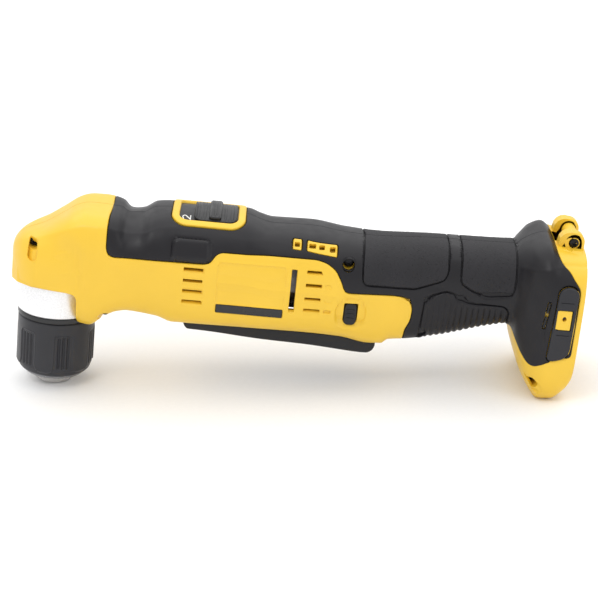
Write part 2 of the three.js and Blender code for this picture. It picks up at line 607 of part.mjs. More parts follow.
function housingShell() {
  const region = sidePrism(grown(OVERMOULD_OUTLINE, GAP), -SLACK, SLACK);
  const walls = outerForm.subtract(region).add(rebateForm).subtract(cavityForm);
  const head = Math.max(COLLAR_RADIUS, SLEEVE_RADIUS) + RUN_GAP;
  const open = [
    box(-SLACK, CHIN_X, -SLACK, SLACK, -SLACK, HEAD_EDGE),
    rod('z', head, 0, HEAD_EDGE, [0, 0, 0], 32),
  ];
  const solidParts = [cutBy(walls, open), chinShroud(), pivotLugs(), ...screwBosses(), ...ribs()];
  const body = joined(solidParts).subtract(paddleOpening()).add(ears());
  const pinHole = pivotRod(PIN_RADIUS + GAP, PADDLE_HALF_WIDTH + LUG_WALL - 0.6, 16);
  const labels = sidePrism(grown(LABEL_OUTLINE, GAP), -SLACK, SLACK);
  const labelSeats = labels.subtract(housingForm(LABEL_DEPTH + GAP, SIDES));
  const ledHole = rod('z', LED_RADIUS + GAP, 0, SHAFT_Z - CASE_RADIUS - 0.1, [LED_X, 0, 0], 20);
  const opened = cutBy(body, [
    pinHole, labelSeats, ledHole, batteryChannel(), hangNotch(), stemSlot(), padCut(), floorCut(),
    buttonBox(BUTTON_GAP, SLACK), ...ventSlots(), ...windowHoles(), ...screwCuts(),
  ]);
  return joined([opened, hookBoss(), mirrored(hookBoss())]);
}

function overmouldSkin() {
  const skin = outerForm.subtract(skinBackForm).intersect(sidePrism(OVERMOULD_OUTLINE, -SLACK, SLACK));
  const frame = selectorShape(GAP);
  const bezelRecess = planPrism(frame, SHAFT_Z, SLACK * 3).subtract(housingForm(SKIN / 2, SIDES));
  const windows = WINDOW_OUTLINES.map((outline) => sidePrism(outline, -SLACK, SLACK));
  return cutBy(skin, [bezelRecess, stemSlot(), padCut(), bossRoom(), ...windows, ...screwCuts()]);
}

function selectorShape(spare) {
  const half = SELECTOR_LENGTH / 2 + spare;
  const wide = SELECTOR_HALF_WIDTH + spare;
  return roundedRectangle(SELECTOR_X - half, SELECTOR_X + half, -wide, wide, 8);
}

function windowShape(spare) {
  const half = SELECTOR_LENGTH / 2 - SELECTOR_FRAME - spare;
  const wide = SELECTOR_HALF_WIDTH - SELECTOR_FRAME - spare;
  return roundedRectangle(SELECTOR_X - half, SELECTOR_X + half, -wide, wide, 5);
}

function selectorBezel() {
  const band = housingForm(-SELECTOR_PROUD, SIDES).subtract(housingForm(SKIN / 2 - GAP, SIDES));
  const window = planPrism(windowShape(0), 0, SLACK * 3);
  return band.intersect(planPrism(selectorShape(0), SHAFT_Z, SLACK * 3)).subtract(window);
}

function selectorSlider() {
  const wide = SELECTOR_HALF_WIDTH - SELECTOR_FRAME - RUN_GAP;
  const front = SLIDER_REAR - SLIDER_LENGTH;
  const plan = planPrism(roundedRectangle(front, SLIDER_REAR, -wide, wide, 5), SHAFT_Z, SLACK * 3);
  const band = housingForm(-SELECTOR_PROUD / 2, SIDES).subtract(housingForm(SKIN / 2 - GAP, SIDES));
  const plate = band.intersect(plan);
  const knobOutline = roundedRectangle(SELECTOR_X, SELECTOR_X + KNOB_LENGTH, -wide + 1, wide - 1, 1.5);
  const knobPlan = planPrism(knobOutline, SHAFT_Z, SLACK * 3);
  const knobBand = housingForm(-SELECTOR_PROUD - 0.7, SIDES).subtract(housingForm(0.2, SIDES));
  const knob = knobBand.intersect(knobPlan);
  const stemEnd = STEM_X + STEM_LENGTH;
  const stem = box(STEM_X, stemEnd, -STEM_HALF_WIDTH, STEM_HALF_WIDTH, FORK_TOP + GAP, BODY_TOP - 0.5);
  return joined([plate, knob, stem]);
}


function shiftFork() {
  const inner = CASE_RADIUS + RUN_GAP;
  const bar = box(FORK_X, STEM_X + STEM_LENGTH, -FORK_WIDTH, FORK_WIDTH, SHAFT_Z + inner + 0.7, FORK_TOP);
  const arch = washerOnShaft(inner, inner + FORK_ARCH, FORK_X, FORK_X + FORK_WIDTH, 28);
  const upper = arch.intersect(box(0, SLACK * 2, -SLACK, SLACK, SHAFT_Z + CASE_RADIUS / 2, SLACK * 2));
  return bar.add(upper);
}

function labelStrip() {
  const band = housingForm(0, SIDES).subtract(housingForm(LABEL_DEPTH, SIDES));
  return band.intersect(sidePrism(LABEL_OUTLINE, -SLACK, SLACK));
}

function sidePad() {
  const outer = BASE_HALF_WIDTH + PAD_PROUD;
  return sidePrism(PAD_OUTLINE, outer - PAD_DEPTH, outer).subtract(bossRoom());
}

function hookBoss() {
  const { x0, x1, z0, z1 } = BOSS_BOX;
  const outer = BASE_HALF_WIDTH + PAD_PROUD;
  const hole = rod('y', 1.4, outer - 4, outer + 1, [(x0 + x1) / 2 + 0.4, 0, (z0 + z1) / 2 + 0.7], 16);
  return box(x0, x1, outer - PAD_DEPTH - 1, outer, z0, z1).subtract(hole);
}

const mirrored = (body) => body.mirror([0, 1, 0]);

// ---- Chuck ----

function jawLine(radius, from, to) {
  const line = rod('z', radius, from, to, [0, 0, 0], 20);
  return line.rotate([0, THREE.MathUtils.radToDeg(JAW_ANGLE), 0]).translate([0, 0, JAW_APEX]);
}

function jaw(index) {
  const bar = jawLine(JAW_RADIUS, 0, (JAW_TIP_CLOSED - JAW_APEX) / Math.cos(JAW_ANGLE) + JAW_LENGTH);
  const wedge = new THREE.Shape([[0.4, 0], [30, 50], [30, -50]].map(([x, y]) => new THREE.Vector2(x, y)));
  const closed = bar.intersect(planPrism(wedge, JAW_TIP_CLOSED, SLACK));
  const open = closed.translate([JAW_TRAVEL * Math.sin(JAW_ANGLE), 0, JAW_TRAVEL * Math.cos(JAW_ANGLE)]);
  return open.rotate([0, 0, (360 * index) / JAW_COUNT + 30]);
}

function chuckBody() {
  const bore = SPINDLE_RADIUS + SHAFT_FIT;
  const form = turned([
    [0, 0], [NOSE_RADIUS, 0], [NOSE_RADIUS + 1.6, NOSE_HEIGHT - 0.4], [RIM_RADIUS - 0.8, NOSE_HEIGHT],
    [RIM_RADIUS, NOSE_HEIGHT + 0.8], [RIM_RADIUS, SLEEVE_TOP - 0.6], [0, SLEEVE_TOP - 0.6],
  ]);
  const tracks = Array.from({ length: JAW_COUNT }, (_, i) =>
    jawLine(JAW_RADIUS + GAP, -3, 41).rotate([0, 0, (360 * i) / JAW_COUNT + 30]));
  return cutBy(form, [
    rod('z', TOOL_RADIUS, -1, TOOL_DEPTH, [0, 0, 0], 32),
    rod('z', bore, SPINDLE_BOTTOM - GAP, SLEEVE_TOP, [0, 0, 0], 32), ...tracks,
  ]);
}

function chuckSleeve() {
  const inner = SLEEVE_RADIUS - SLEEVE_WALL;
  return turned([
    [inner, SLEEVE_BOTTOM + 0.4], [inner + 0.6, SLEEVE_BOTTOM], [SLEEVE_RADIUS - 1.6, SLEEVE_BOTTOM + 1.4],
    [SLEEVE_RADIUS - 0.5, SLEEVE_BOTTOM + 4], [SLEEVE_RADIUS, SLEEVE_BOTTOM + 8],
    [SLEEVE_RADIUS, SLEEVE_TOP - 1], [SLEEVE_RADIUS - 0.8, SLEEVE_TOP], [inner, SLEEVE_TOP],
    [inner, SLEEVE_BOTTOM + 0.4],
  ]);
}

function chuckCollar() {
  const seat = LOWER_BEARING.outer + GAP;
  const wide = CROWN_RADIUS + 1.4;
  return turned([
    [SPINDLE_RADIUS + 1.2, COLLAR_BOTTOM + 1.2], [COLLAR_RADIUS - 1.5, COLLAR_BOTTOM],
    [COLLAR_RADIUS, COLLAR_BOTTOM + 1.4], [COLLAR_RADIUS, HEAD_EDGE - GAP], [wide, HEAD_EDGE - GAP],
    [wide, LOWER_BEARING.high + 1.4], [seat, LOWER_BEARING.high + 1.4], [seat, LOWER_BEARING.low - GAP],
    [SPINDLE_RADIUS + 1.2, LOWER_BEARING.low - GAP], [SPINDLE_RADIUS + 1.2, COLLAR_BOTTOM + 1.2],
  ]);
}

const bearing = ({ inner, outer, low, high }) => washer(inner, outer, low, high, 32);

function spindle() {
  return turned([
    [0, SPINDLE_BOTTOM], [SPINDLE_RADIUS, SPINDLE_BOTTOM], [SPINDLE_RADIUS, CROWN_TOP + 3],
    [SPINDLE_TIP_RADIUS, CROWN_TOP + 4], [SPINDLE_TIP_RADIUS, SPINDLE_TOP], [0, SPINDLE_TOP],
  ], 32);
}

function bevelGear() {
  const bore = SPINDLE_RADIUS + GAP;
  const disc = washer(bore, CROWN_RADIUS, CROWN_BOTTOM, CROWN_TOP - TOOTH_HEIGHT, 30);
  const teeth = Array.from({ length: CROWN_TEETH }, (_, i) =>
    box(CROWN_INNER, CROWN_RADIUS - 0.2, -0.6, 0.6, CROWN_TOP - TOOTH_HEIGHT - 0.5, CROWN_TOP)
      .rotate([0, 0, (360 * i) / CROWN_TEETH]));
  return joined([disc, ...teeth]);
}

// ---- Gearbox ----

// Spur gear outline with pointed teeth.
function gearOutline(teeth, rootRadius, tipRadius) {
  const points = [];
  for (let i = 0; i < teeth; i += 1) {
    const steps = [[-0.35, rootRadius], [0, tipRadius], [0.35, rootRadius]];
    steps.forEach(([share, radius]) => {
      const angle = (2 * Math.PI * (i + share)) / teeth;
      points.push(new THREE.Vector2(radius * Math.cos(angle), radius * Math.sin(angle)));
    });
  }
  return new THREE.Shape(points);
}

function gearOnShaft(shape, x, length) {
  const geometry = new THREE.ExtrudeGeometry(shape, { depth: length, bevelEnabled: false });
  geometry.rotateY(Math.PI / 2);
  geometry.translate(x, 0, SHAFT_Z);
  return solid(geometry);
}

const pitchRadius = (teeth) => (teeth * PLANET_MODULE) / 2;
const PLANET_ORBIT = pitchRadius(SUN_TEETH) + pitchRadius(PLANET_TEETH);
const ADDENDUM = PLANET_MODULE * 0.35;
const CARRIER_REAR = PLANET_X - 0.6;

const planetPlace = (index) => {
  const angle = (2 * Math.PI * index) / PLANET_COUNT + Math.PI / 2;
  return [0, PLANET_ORBIT * Math.cos(angle), PLANET_ORBIT * Math.sin(angle)];
};

function spurGear(teeth, bore) {
  const pitch = pitchRadius(teeth) - GAP / 2;
  const wheel = gearOnShaft(gearOutline(teeth, pitch - ADDENDUM * 2, pitch), PLANET_X, GEAR_WIDTH);
  return wheel.subtract(rod('x', bore, PLANET_X - 1, PLANET_X + GEAR_WIDTH + 1, [0, 0, SHAFT_Z], 16));
}

const planetGear = (index) =>
  spurGear(PLANET_TEETH, PLANET_PIN_RADIUS + SHAFT_FIT).translate(planetPlace(index));
const sunGear = () => spurGear(SUN_TEETH, MOTOR_SHAFT_RADIUS + SHAFT_FIT);

function ringGear() {
  const inside = pitchRadius(RING_TEETH) + GAP / 2;
  const blank = rod('x', CASE_RADIUS - CASE_WALL - GAP, PLANET_X - 0.5, PLANET_X + GEAR_WIDTH + 0.5,
    [0, 0, SHAFT_Z], 28);
  const teeth = gearOutline(RING_TEETH, inside, inside + ADDENDUM);
  return blank.subtract(gearOnShaft(teeth, PLANET_X - 1, GEAR_WIDTH + 2));
}

function gearCase() {
  const neck = PINION_BEARING.outer + GAP;
  const inner = CASE_RADIUS - CASE_WALL;
  const front = CASE_X;
  const rear = CASE_X + CASE_LENGTH;
  return turnedOnShaft([
    [PINION_BEARING.low - 0.4, neck], [PINION_BEARING.low - 0.4, neck + 1.6], [front, neck + 1.6],
    [front, CASE_RADIUS], [rear, CASE_RADIUS], [rear, inner], [front + CASE_WALL, inner],
    [front + CASE_WALL, PINION_SHAFT_RADIUS + 1], [PINION_BEARING.high + GAP, PINION_SHAFT_RADIUS + 1],
    [PINION_BEARING.high + GAP, neck], [PINION_BEARING.low - 0.4, neck],
  ]);
}

function planetCarrier() {
  const shaftFront = PINION_X + PINION_LENGTH + 0.1;
  const shaft = rod('x', PINION_SHAFT_RADIUS, shaftFront, CARRIER_REAR - 4, [0, 0, SHAFT_Z], 32);
  const disc = rod('x', PLANET_ORBIT + 4.4, CARRIER_REAR - 5, CARRIER_REAR, [0, 0, SHAFT_Z], 28);
  const pins = Array.from({ length: PLANET_COUNT }, (_, i) =>
    rod('x', PLANET_PIN_RADIUS, CARRIER_REAR - 1, PLANET_X + GEAR_WIDTH, [0, 0, SHAFT_Z], 24)
      .translate(planetPlace(i)));
  return joined([shaft, disc, ...pins]);
}

function bevelPinion() {
  const shape = gearOutline(PINION_TEETH, PINION_RADIUS - TOOTH_HEIGHT, PINION_RADIUS);
  return gearOnShaft(shape, PINION_X, PINION_LENGTH);
}

// ---- Motor ----

const motorShaft = () => rod('x', MOTOR_SHAFT_RADIUS, PLANET_X - 0.2, MOTOR_END + 1.4, [0, 0, SHAFT_Z], 24);

function fan() {
  const bore = MOTOR_SHAFT_RADIUS + SHAFT_FIT;
  const disc = washerOnShaft(bore, FAN_RADIUS, FAN_X, FAN_X + 1.6, 24);
  const hub = washerOnShaft(bore, 4.5, FAN_X + 1, FAN_X + FAN_LENGTH, 24);
  const blades = Array.from({ length: FAN_BLADES }, (_, i) =>
    box(FAN_X + 1, FAN_X + FAN_LENGTH - 1, -0.6, 0.6, 6, FAN_RADIUS - 0.5)
      .rotate([(360 * i) / FAN_BLADES, 0, 0]).translate([0, 0, SHAFT_Z]));
  return joined([disc, hub, ...blades]);
}

function motorCan() {
  const inner = MOTOR_RADIUS - MOTOR_WALL;
  const hole = MOTOR_SHAFT_RADIUS + 1;
  return turnedOnShaft([
    [MOTOR_X, hole], [MOTOR_X, MOTOR_RADIUS], [CAN_END, MOTOR_RADIUS], [CAN_END, inner],
    [MOTOR_X + MOTOR_WALL, inner], [MOTOR_X + MOTOR_WALL, hole], [MOTOR_X, hole],
  ]);
}

function magnet(side) {
  const outer = MOTOR_RADIUS - MOTOR_WALL - GAP;
  const tube = washerOnShaft(outer - MAGNET_THICKNESS, outer, MOTOR_X + 6, CAN_END - 6, 28);
  const far = 1.3 * MOTOR_RADIUS;
  const corners = [[0, 0], [-side * far, 1.4 * far], [-side * far, -1.4 * far]];
  const wedge = new THREE.Shape(corners.map((point) => new THREE.Vector2(...point)));
  return tube.intersect(gearOnShaft(wedge, MOTOR_X, CAN_END - MOTOR_X));
}

function armature() {
  const bore = MOTOR_SHAFT_RADIUS + SHAFT_FIT;
  const core = washerOnShaft(bore, ARMATURE_RADIUS, MOTOR_X + 8, CAN_END - 8, 25);
  const slots = Array.from({ length: ARMATURE_POLES }, (_, i) =>
    box(MOTOR_X, CAN_END, -0.9, 0.9, ARMATURE_RADIUS - 4, ARMATURE_RADIUS + 1)
      .rotate([(360 * i) / ARMATURE_POLES, 0, 0]).translate([0, 0, SHAFT_Z]));
  const commutator = washerOnShaft(bore, COMMUTATOR_RADIUS, CAN_END - 8.5, END_CAP_X + 8, 24);
  return cutBy(core, slots).add(commutator);
}

function endCap() {
  const inner = MOTOR_RADIUS - 2;
  const hole = MOTOR_SHAFT_RADIUS + 0.8;
  return turnedOnShaft([
    [END_CAP_X, inner], [END_CAP_X, MOTOR_RADIUS], [MOTOR_END, MOTOR_RADIUS], [MOTOR_END, hole],
    [MOTOR_END - 2.4, hole], [MOTOR_END - 2.4, inner], [END_CAP_X, inner],
  ]);
}

const brush = () =>
  box(END_CAP_X + 1.5, END_CAP_X + 6.5, COMMUTATOR_RADIUS + GAP, BRUSH_REACH, SHAFT_Z - 2, SHAFT_Z + 2);

// ---- Controls, switch and leads ----

const paddleFloor = (x) => {
  const share = (x - PADDLE_X) / PADDLE_LENGTH;
  return THREE.MathUtils.lerp(PADDLE_FRONT_BOTTOM, PADDLE_REAR_BOTTOM, Math.min(1, share * 1.1));
};

function paddleOutline(inset) {
  const front = PADDLE_X + inset;
  const rear = PADDLE_X + PADDLE_LENGTH - inset;
  const mid = (front + rear) / 2;
  return [
    [front, PADDLE_TOP], [front, paddleFloor(front) + 2.4 + inset], [front + 2.4, paddleFloor(front) + inset],
    [mid - 20, paddleFloor(mid - 20) + inset - 0.3], [mid + 25, paddleFloor(mid + 25) + inset],
    [rear - 4, PADDLE_REAR_BOTTOM + inset], [rear - 1, PADDLE_REAR_BOTTOM + inset + 2],
    [rear, PADDLE_TOP - 4], [rear, PADDLE_TOP],
  ];
}

function paddle() {
  const half = PADDLE_HALF_WIDTH;
  const hollow = paddleOutline(PADDLE_WALL).map(([x, z]) => [x, z === PADDLE_TOP ? z + 1 : z]);
  const trough = sidePrism(hollow, -half + PADDLE_WALL, half - PADDLE_WALL);
  const tub = sidePrism(paddleOutline(0), -half, half).subtract(trough);
  const cheek = box(PIVOT_X - 2.6, PIVOT_X + 2.6, -half, half, PADDLE_FRONT_BOTTOM + 1, PIVOT_Z + 2.2);
  const rib = box(RIB_X - 1.6, RIB_X + 1.6, -3, 3, PADDLE_REAR_BOTTOM + 1, SWITCH_BOTTOM - 4.2);
  return joined([tub, cheek, rib]).subtract(pivotRod(PIN_RADIUS + GAP, SLACK, 16));
}

const paddlePin = () => pivotRod(PIN_RADIUS, PADDLE_HALF_WIDTH + LUG_WALL - 1.4, 24);

class Helix extends THREE.Curve {
  constructor(radius, low, high, turns) {
    super();
    Object.assign(this, { radius, low, high, turns });
  }

  getPoint(t) {
    const angle = 2 * Math.PI * this.turns * t;
    return new THREE.Vector3(this.radius * Math.cos(angle), this.radius * Math.sin(angle),
      THREE.MathUtils.lerp(this.low, this.high, t));
  }
}

function tube(curve, radius, steps, sides) {
  const section = new THREE.Shape(Array.from({ length: sides }, (_, i) => {
    const angle = (2 * Math.PI * i) / sides;
    return new THREE.Vector2(radius * Math.cos(angle), radius * Math.sin(angle));
  }));
  return solid(new THREE.ExtrudeGeometry(section, { steps, bevelEnabled: false, extrudePath: curve }));
}

function paddleSpring() {
  const low = paddleFloor(SPRING_X) + PADDLE_WALL + 2.4;
  const curve = new Helix(1.8, low, SWITCH_BOTTOM - 1, 5);
  return tube(curve, 0.45, 40, 4).translate([SPRING_X, 0, 0]);
}

const buttonBox = (spare, reach) => box(
  BUTTON_X - BUTTON_WIDTH / 2 - spare, BUTTON_X + BUTTON_WIDTH / 2 + spare, -reach, reach,
  BUTTON_Z - BUTTON_HEIGHT / 2 - spare, BUTTON_Z + BUTTON_HEIGHT / 2 + spare,
);
const directionButton = () => buttonBox(0, BUTTON_HALF_LENGTH);

const switchBody = () => box(SWITCH_X, SWITCH_X + SWITCH_LENGTH, -SWITCH_HALF_WIDTH, SWITCH_HALF_WIDTH,
  SWITCH_BOTTOM, SWITCH_TOP);

function terminalBlock() {
  const block = box(BLOCK_FRONT, BLOCK_REAR, -BLOCK_HALF_WIDTH, BLOCK_HALF_WIDTH, BLOCK_BOTTOM, BLOCK_TOP);
  const half = BLADE_HALF_THICKNESS + GAP;
  const slots = bladePlaces().map((y) =>
    box(BLOCK_REAR - BLADE_SLOT_DEPTH, BLOCK_REAR + 1, y - half, y + half, BLOCK_BOTTOM - 1, BLADE_TOP));
  return cutBy(block, slots);
}

const bladePlaces = () =>
  Array.from({ length: BLADE_COUNT }, (_, i) => (i - (BLADE_COUNT - 1) / 2) * BLADE_SPACING);

const blade = (y) => box(BLOCK_REAR - BLADE_SLOT_DEPTH + GAP, BLOCK_REAR - 1, y - BLADE_HALF_THICKNESS,
  y + BLADE_HALF_THICKNESS, BLOCK_BOTTOM + 1, BLADE_TOP - GAP);

function batteryLead(side) {
  const y = side * 6;
  const start = SWITCH_X + SWITCH_LENGTH + GAP + 0.1;
  const end = BLOCK_FRONT - GAP - 0.1;
  const curve = new THREE.CatmullRomCurve3([
    [start, y, SWITCH_TOP - 4], [start + 6, y, SWITCH_TOP - 4], [(start + end) / 2, y * 0.8, SWITCH_TOP + 4],
    [end - 6, y, BLOCK_TOP - 10], [end, y, BLOCK_TOP - 10],
  ].map((point) => new THREE.Vector3(...point)));
  return tube(curve, LEAD_RADIUS, 12, 6);
}

const motorLead = (side) =>
  rod('x', LEAD_RADIUS, MOTOR_END + GAP, SWITCH_X - GAP, [0, side * 7, SHAFT_Z + 0.8], 10);

const ledLens = () => rod('z', LED_RADIUS, NECK_BOTTOM - 1.4, SHAFT_Z - CASE_RADIUS - 1.8, [LED_X, 0, 0], 20);

const hangBar = () => rod('y', HANG_BAR_RADIUS, -EAR_INSIDE + GAP, EAR_INSIDE - GAP, [EAR_X, 0, EAR_Z], 24)
  .subtract(rod('y', SCREW_RADIUS + GAP, -SLACK, SLACK, [EAR_X, 0, EAR_Z], 16));

// ---- Assembly ----

const drill = new THREE.Group();

function addPart(name, body, material) {
  const mesh = new THREE.Mesh(toGeometry(body), material);
  mesh.name = name;
  drill.add(mesh);
}

const shell = housingShell();
const skin = overmouldSkin();
addPart('shell_left', leftOf(shell), yellow);
addPart('shell_right', rightOf(shell), yellow);
addPart('overmould_left', leftOf(skin), rubber);
addPart('overmould_right', rightOf(skin), rubber);
addPart('selector_bezel', selectorBezel(), yellow);
addPart('label_strip_left', leftOf(labelStrip()), blackPlastic);
addPart('label_strip_right', rightOf(labelStrip()), blackPlastic);
addPart('side_pad_right', sidePad(), rubber);
addPart('side_pad_left', mirrored(sidePad()), rubber);
addPart('hang_bar', hangBar(), yellow);
Object.keys(SCREW_PLACES).forEach((name) => addPart(`${name}_screw`, screwSolid(name), darkSteel));

addPart('chuck_collar', chuckCollar(), aluminium);
addPart('lower_bearing', bearing(LOWER_BEARING), steel);
addPart('upper_bearing', bearing(UPPER_BEARING), steel);
addPart('spindle', spindle(), steel);
addPart('bevel_gear', bevelGear(), darkSteel);
addPart('chuck_body', chuckBody(), steel);
addPart('chuck_sleeve', chuckSleeve(), sleevePlastic);
for (let i = 0; i < JAW_COUNT; i += 1) {
  addPart(`jaw_${i + 1}`, jaw(i), darkSteel);
}

addPart('gear_case', gearCase(), aluminium);
addPart('ring_gear', ringGear(), darkSteel);
addPart('pinion_bearing', washerOnShaft(PINION_BEARING.inner, PINION_BEARING.outer, PINION_BEARING.low,
  PINION_BEARING.high, 32), steel);
addPart('bevel_pinion', bevelPinion(), darkSteel);
addPart('planet_carrier', planetCarrier(), steel);
for (let i = 0; i < PLANET_COUNT; i += 1) {
  addPart(`planet_gear_${i + 1}`, planetGear(i), darkSteel);
}
addPart('sun_gear', sunGear(), darkSteel);
addPart('shift_fork', shiftFork(), darkSteel);

addPart('motor_shaft', motorShaft(), steel);
addPart('fan', fan(), blackPlastic);
addPart('motor_can', motorCan(), darkSteel);
addPart('magnet_upper', magnet(1), graphite);
addPart('magnet_lower', magnet(-1), graphite);
addPart('armature', armature(), darkSteel);
addPart('end_cap', endCap(), blackPlastic);
addPart('brush_right', brush(), graphite);
addPart('brush_left', mirrored(brush()), graphite);

addPart('selector_slider', selectorSlider(), blackPlastic);
addPart('paddle', paddle(), rubber);
addPart('paddle_pin', paddlePin(), steel);
addPart('paddle_spring', paddleSpring(), steel);
addPart('direction_button', directionButton(), blackPlastic);
addPart('switch_body', switchBody(), blackPlastic);
addPart('terminal_block', terminalBlock(), blackPlastic);
bladePlaces().forEach((y, i) => addPart(`terminal_blade_${i + 1}`, blade(y), copper));
addPart('battery_lead_red', batteryLead(1), redLead);
addPart('battery_lead_black', batteryLead(-1), blackLead);
addPart('motor_lead_red', motorLead(1), redLead);
addPart('motor_lead_black', motorLead(-1), blackLead);
addPart('led_lens', ledLens(), lens);

// Tip the drill back onto its foot, then put the middle of its footprint at the origin.
const group = new THREE.Group();
drill.rotation.y = STAND_TILT;
group.add(drill);
group.updateMatrixWorld(true);
const bounds = new THREE.Box3().setFromObject(group, true);
drill.position.set(-(bounds.min.x + bounds.max.x) / 2, -(bounds.min.y + bounds.max.y) / 2, -bounds.min.z);
group.updateMatrixWorld(true);

export default group;
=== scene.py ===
"""Looks for the right-angle cordless drill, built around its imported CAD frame.

Pieces are drawn in millimetres in the drill's own frame: the chuck axis is x = 0, y = 0, the nose
face is z = 0, x runs back to the battery base and the left side is y < 0. to_world() places them.
"""
import json
import math

import bmesh
import bpy
import numpy as np
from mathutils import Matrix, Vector
from mathutils.geometry import delaunay_2d_cdt


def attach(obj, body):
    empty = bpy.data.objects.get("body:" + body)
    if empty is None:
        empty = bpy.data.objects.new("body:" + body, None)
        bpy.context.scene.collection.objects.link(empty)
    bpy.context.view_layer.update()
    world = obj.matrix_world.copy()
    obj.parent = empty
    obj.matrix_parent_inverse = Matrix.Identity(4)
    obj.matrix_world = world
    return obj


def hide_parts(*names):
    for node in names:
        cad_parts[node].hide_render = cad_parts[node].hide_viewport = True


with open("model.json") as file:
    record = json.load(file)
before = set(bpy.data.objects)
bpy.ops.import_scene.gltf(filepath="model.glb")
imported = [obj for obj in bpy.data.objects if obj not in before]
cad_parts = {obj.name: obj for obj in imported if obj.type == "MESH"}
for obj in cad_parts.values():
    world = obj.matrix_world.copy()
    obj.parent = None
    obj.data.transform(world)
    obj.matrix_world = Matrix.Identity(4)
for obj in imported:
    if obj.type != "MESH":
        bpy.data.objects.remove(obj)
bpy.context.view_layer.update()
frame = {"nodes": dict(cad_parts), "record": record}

# ---- The drill's own frame, from the spindle's joint ----

MM = 0.001
SPINDLE_MARK = 60.0  # height on the chuck axis of the spindle joint's point
spindle_joint = next(j for j in frame["record"]["behaviour"]["joints"]
                     if j["name"] == "spindle_spin")
UP = np.array(spindle_joint["axis"]) / np.linalg.norm(spindle_joint["axis"])
ACROSS = np.array([0.0, 1.0, 0.0])
BACK = np.cross(ACROSS, UP)
ORIGIN = np.array(spindle_joint["pos_m"]) - UP * SPINDLE_MARK * MM


def to_world(points):
    points = np.asarray(points, float)
    return ORIGIN + MM * (points[:, :1] * BACK + points[:, 1:2] * ACROSS + points[:, 2:3] * UP)


# ---- The housing's form ----

HEAD_TOP = 100.6
HEAD_HALF_WIDTH = 24.6
HEAD_EDGE = 58.7
HEAD_TIP = -24.6
CHIN_X = 12.3
CHIN_BOTTOM = 38.2
NECK_X = 26.2
NECK_BOTTOM = 47.5
BODY_TOP = 102.5
BODY_BOTTOM = 43.9
BODY_HALF_WIDTH = 28.6
GRIP_X = 150.0
GRIP_TOP = 97.1
GRIP_HALF_WIDTH = 21.4
BASE_X = 239.5
BASE_TOP = 107.6
BASE_BOTTOM = 22.4
BASE_HALF_WIDTH = 36.8
REAR_X = 272.6
SELECTOR_X = 76.9
SHELL = 1.7           # how thick the visible shell skins are
SEAM = 0.15           # half the parting line between left and right


def smooth_line(points):
    """Smooth line through (x, value) points that never overshoots them."""
    xs, ys = np.array(points, float).T
    slopes = np.diff(ys) / np.diff(xs)
    before, after = slopes[:-1], slopes[1:]
    same = before * after > 0
    middle = np.where(same, 2 * before * after / np.where(same, before + after, 1), 0)
    tangents = np.concatenate([slopes[:1], middle, slopes[-1:]])

    def value(x):
        x = np.clip(np.asarray(x, float), xs[0], xs[-1])
        i = np.clip(np.searchsorted(xs, x, side="right") - 1, 0, len(xs) - 2)
        width = xs[i + 1] - xs[i]
        t = (x - xs[i]) / width
        rise = (1 + 2 * t) * (1 - t) ** 2 * ys[i] + t * t * (3 - 2 * t) * ys[i + 1]
        return rise + width * (t * (1 - t) ** 2 * tangents[i] + t * t * (t - 1) * tangents[i + 1])

    return value


top_line = smooth_line([
    (HEAD_TIP, 71.0), (-24.3, 75.4), (-23.2, 78.2), (-19, 82.3), (-14, 84.8), (-10, 86.4),
    (0, 92.9), (8, 98.6),
    (13, 100.3), (16, HEAD_TOP), (NECK_X, HEAD_TOP - 0.2), (NECK_X + 5, 100.2),
    (NECK_X + 9, GRIP_TOP + 0.7),
    (NECK_X + 16, GRIP_TOP + 1.1), (NECK_X + 23, BODY_TOP - 0.8), (NECK_X + 31, BODY_TOP),
    (SELECTOR_X + 20, BODY_TOP - 0.1), (SELECTOR_X + 27, BODY_TOP - 2.3),
    (GRIP_X - 40, GRIP_TOP + 1.7),
    (GRIP_X - 19, GRIP_TOP + 2.2), (GRIP_X, GRIP_TOP + 0.1), (GRIP_X + 12, GRIP_TOP - 0.3),
    (BASE_X - 45, GRIP_TOP + 1.4), (BASE_X - 2, GRIP_TOP + 2.5), (BASE_X + 3, BASE_TOP - 4.8),
    (BASE_X + 7.5, BASE_TOP - 2), (BASE_X + 14, BASE_TOP), (BASE_X + 19, BASE_TOP - 2.8),
    (REAR_X, BASE_TOP - 3.8),
])
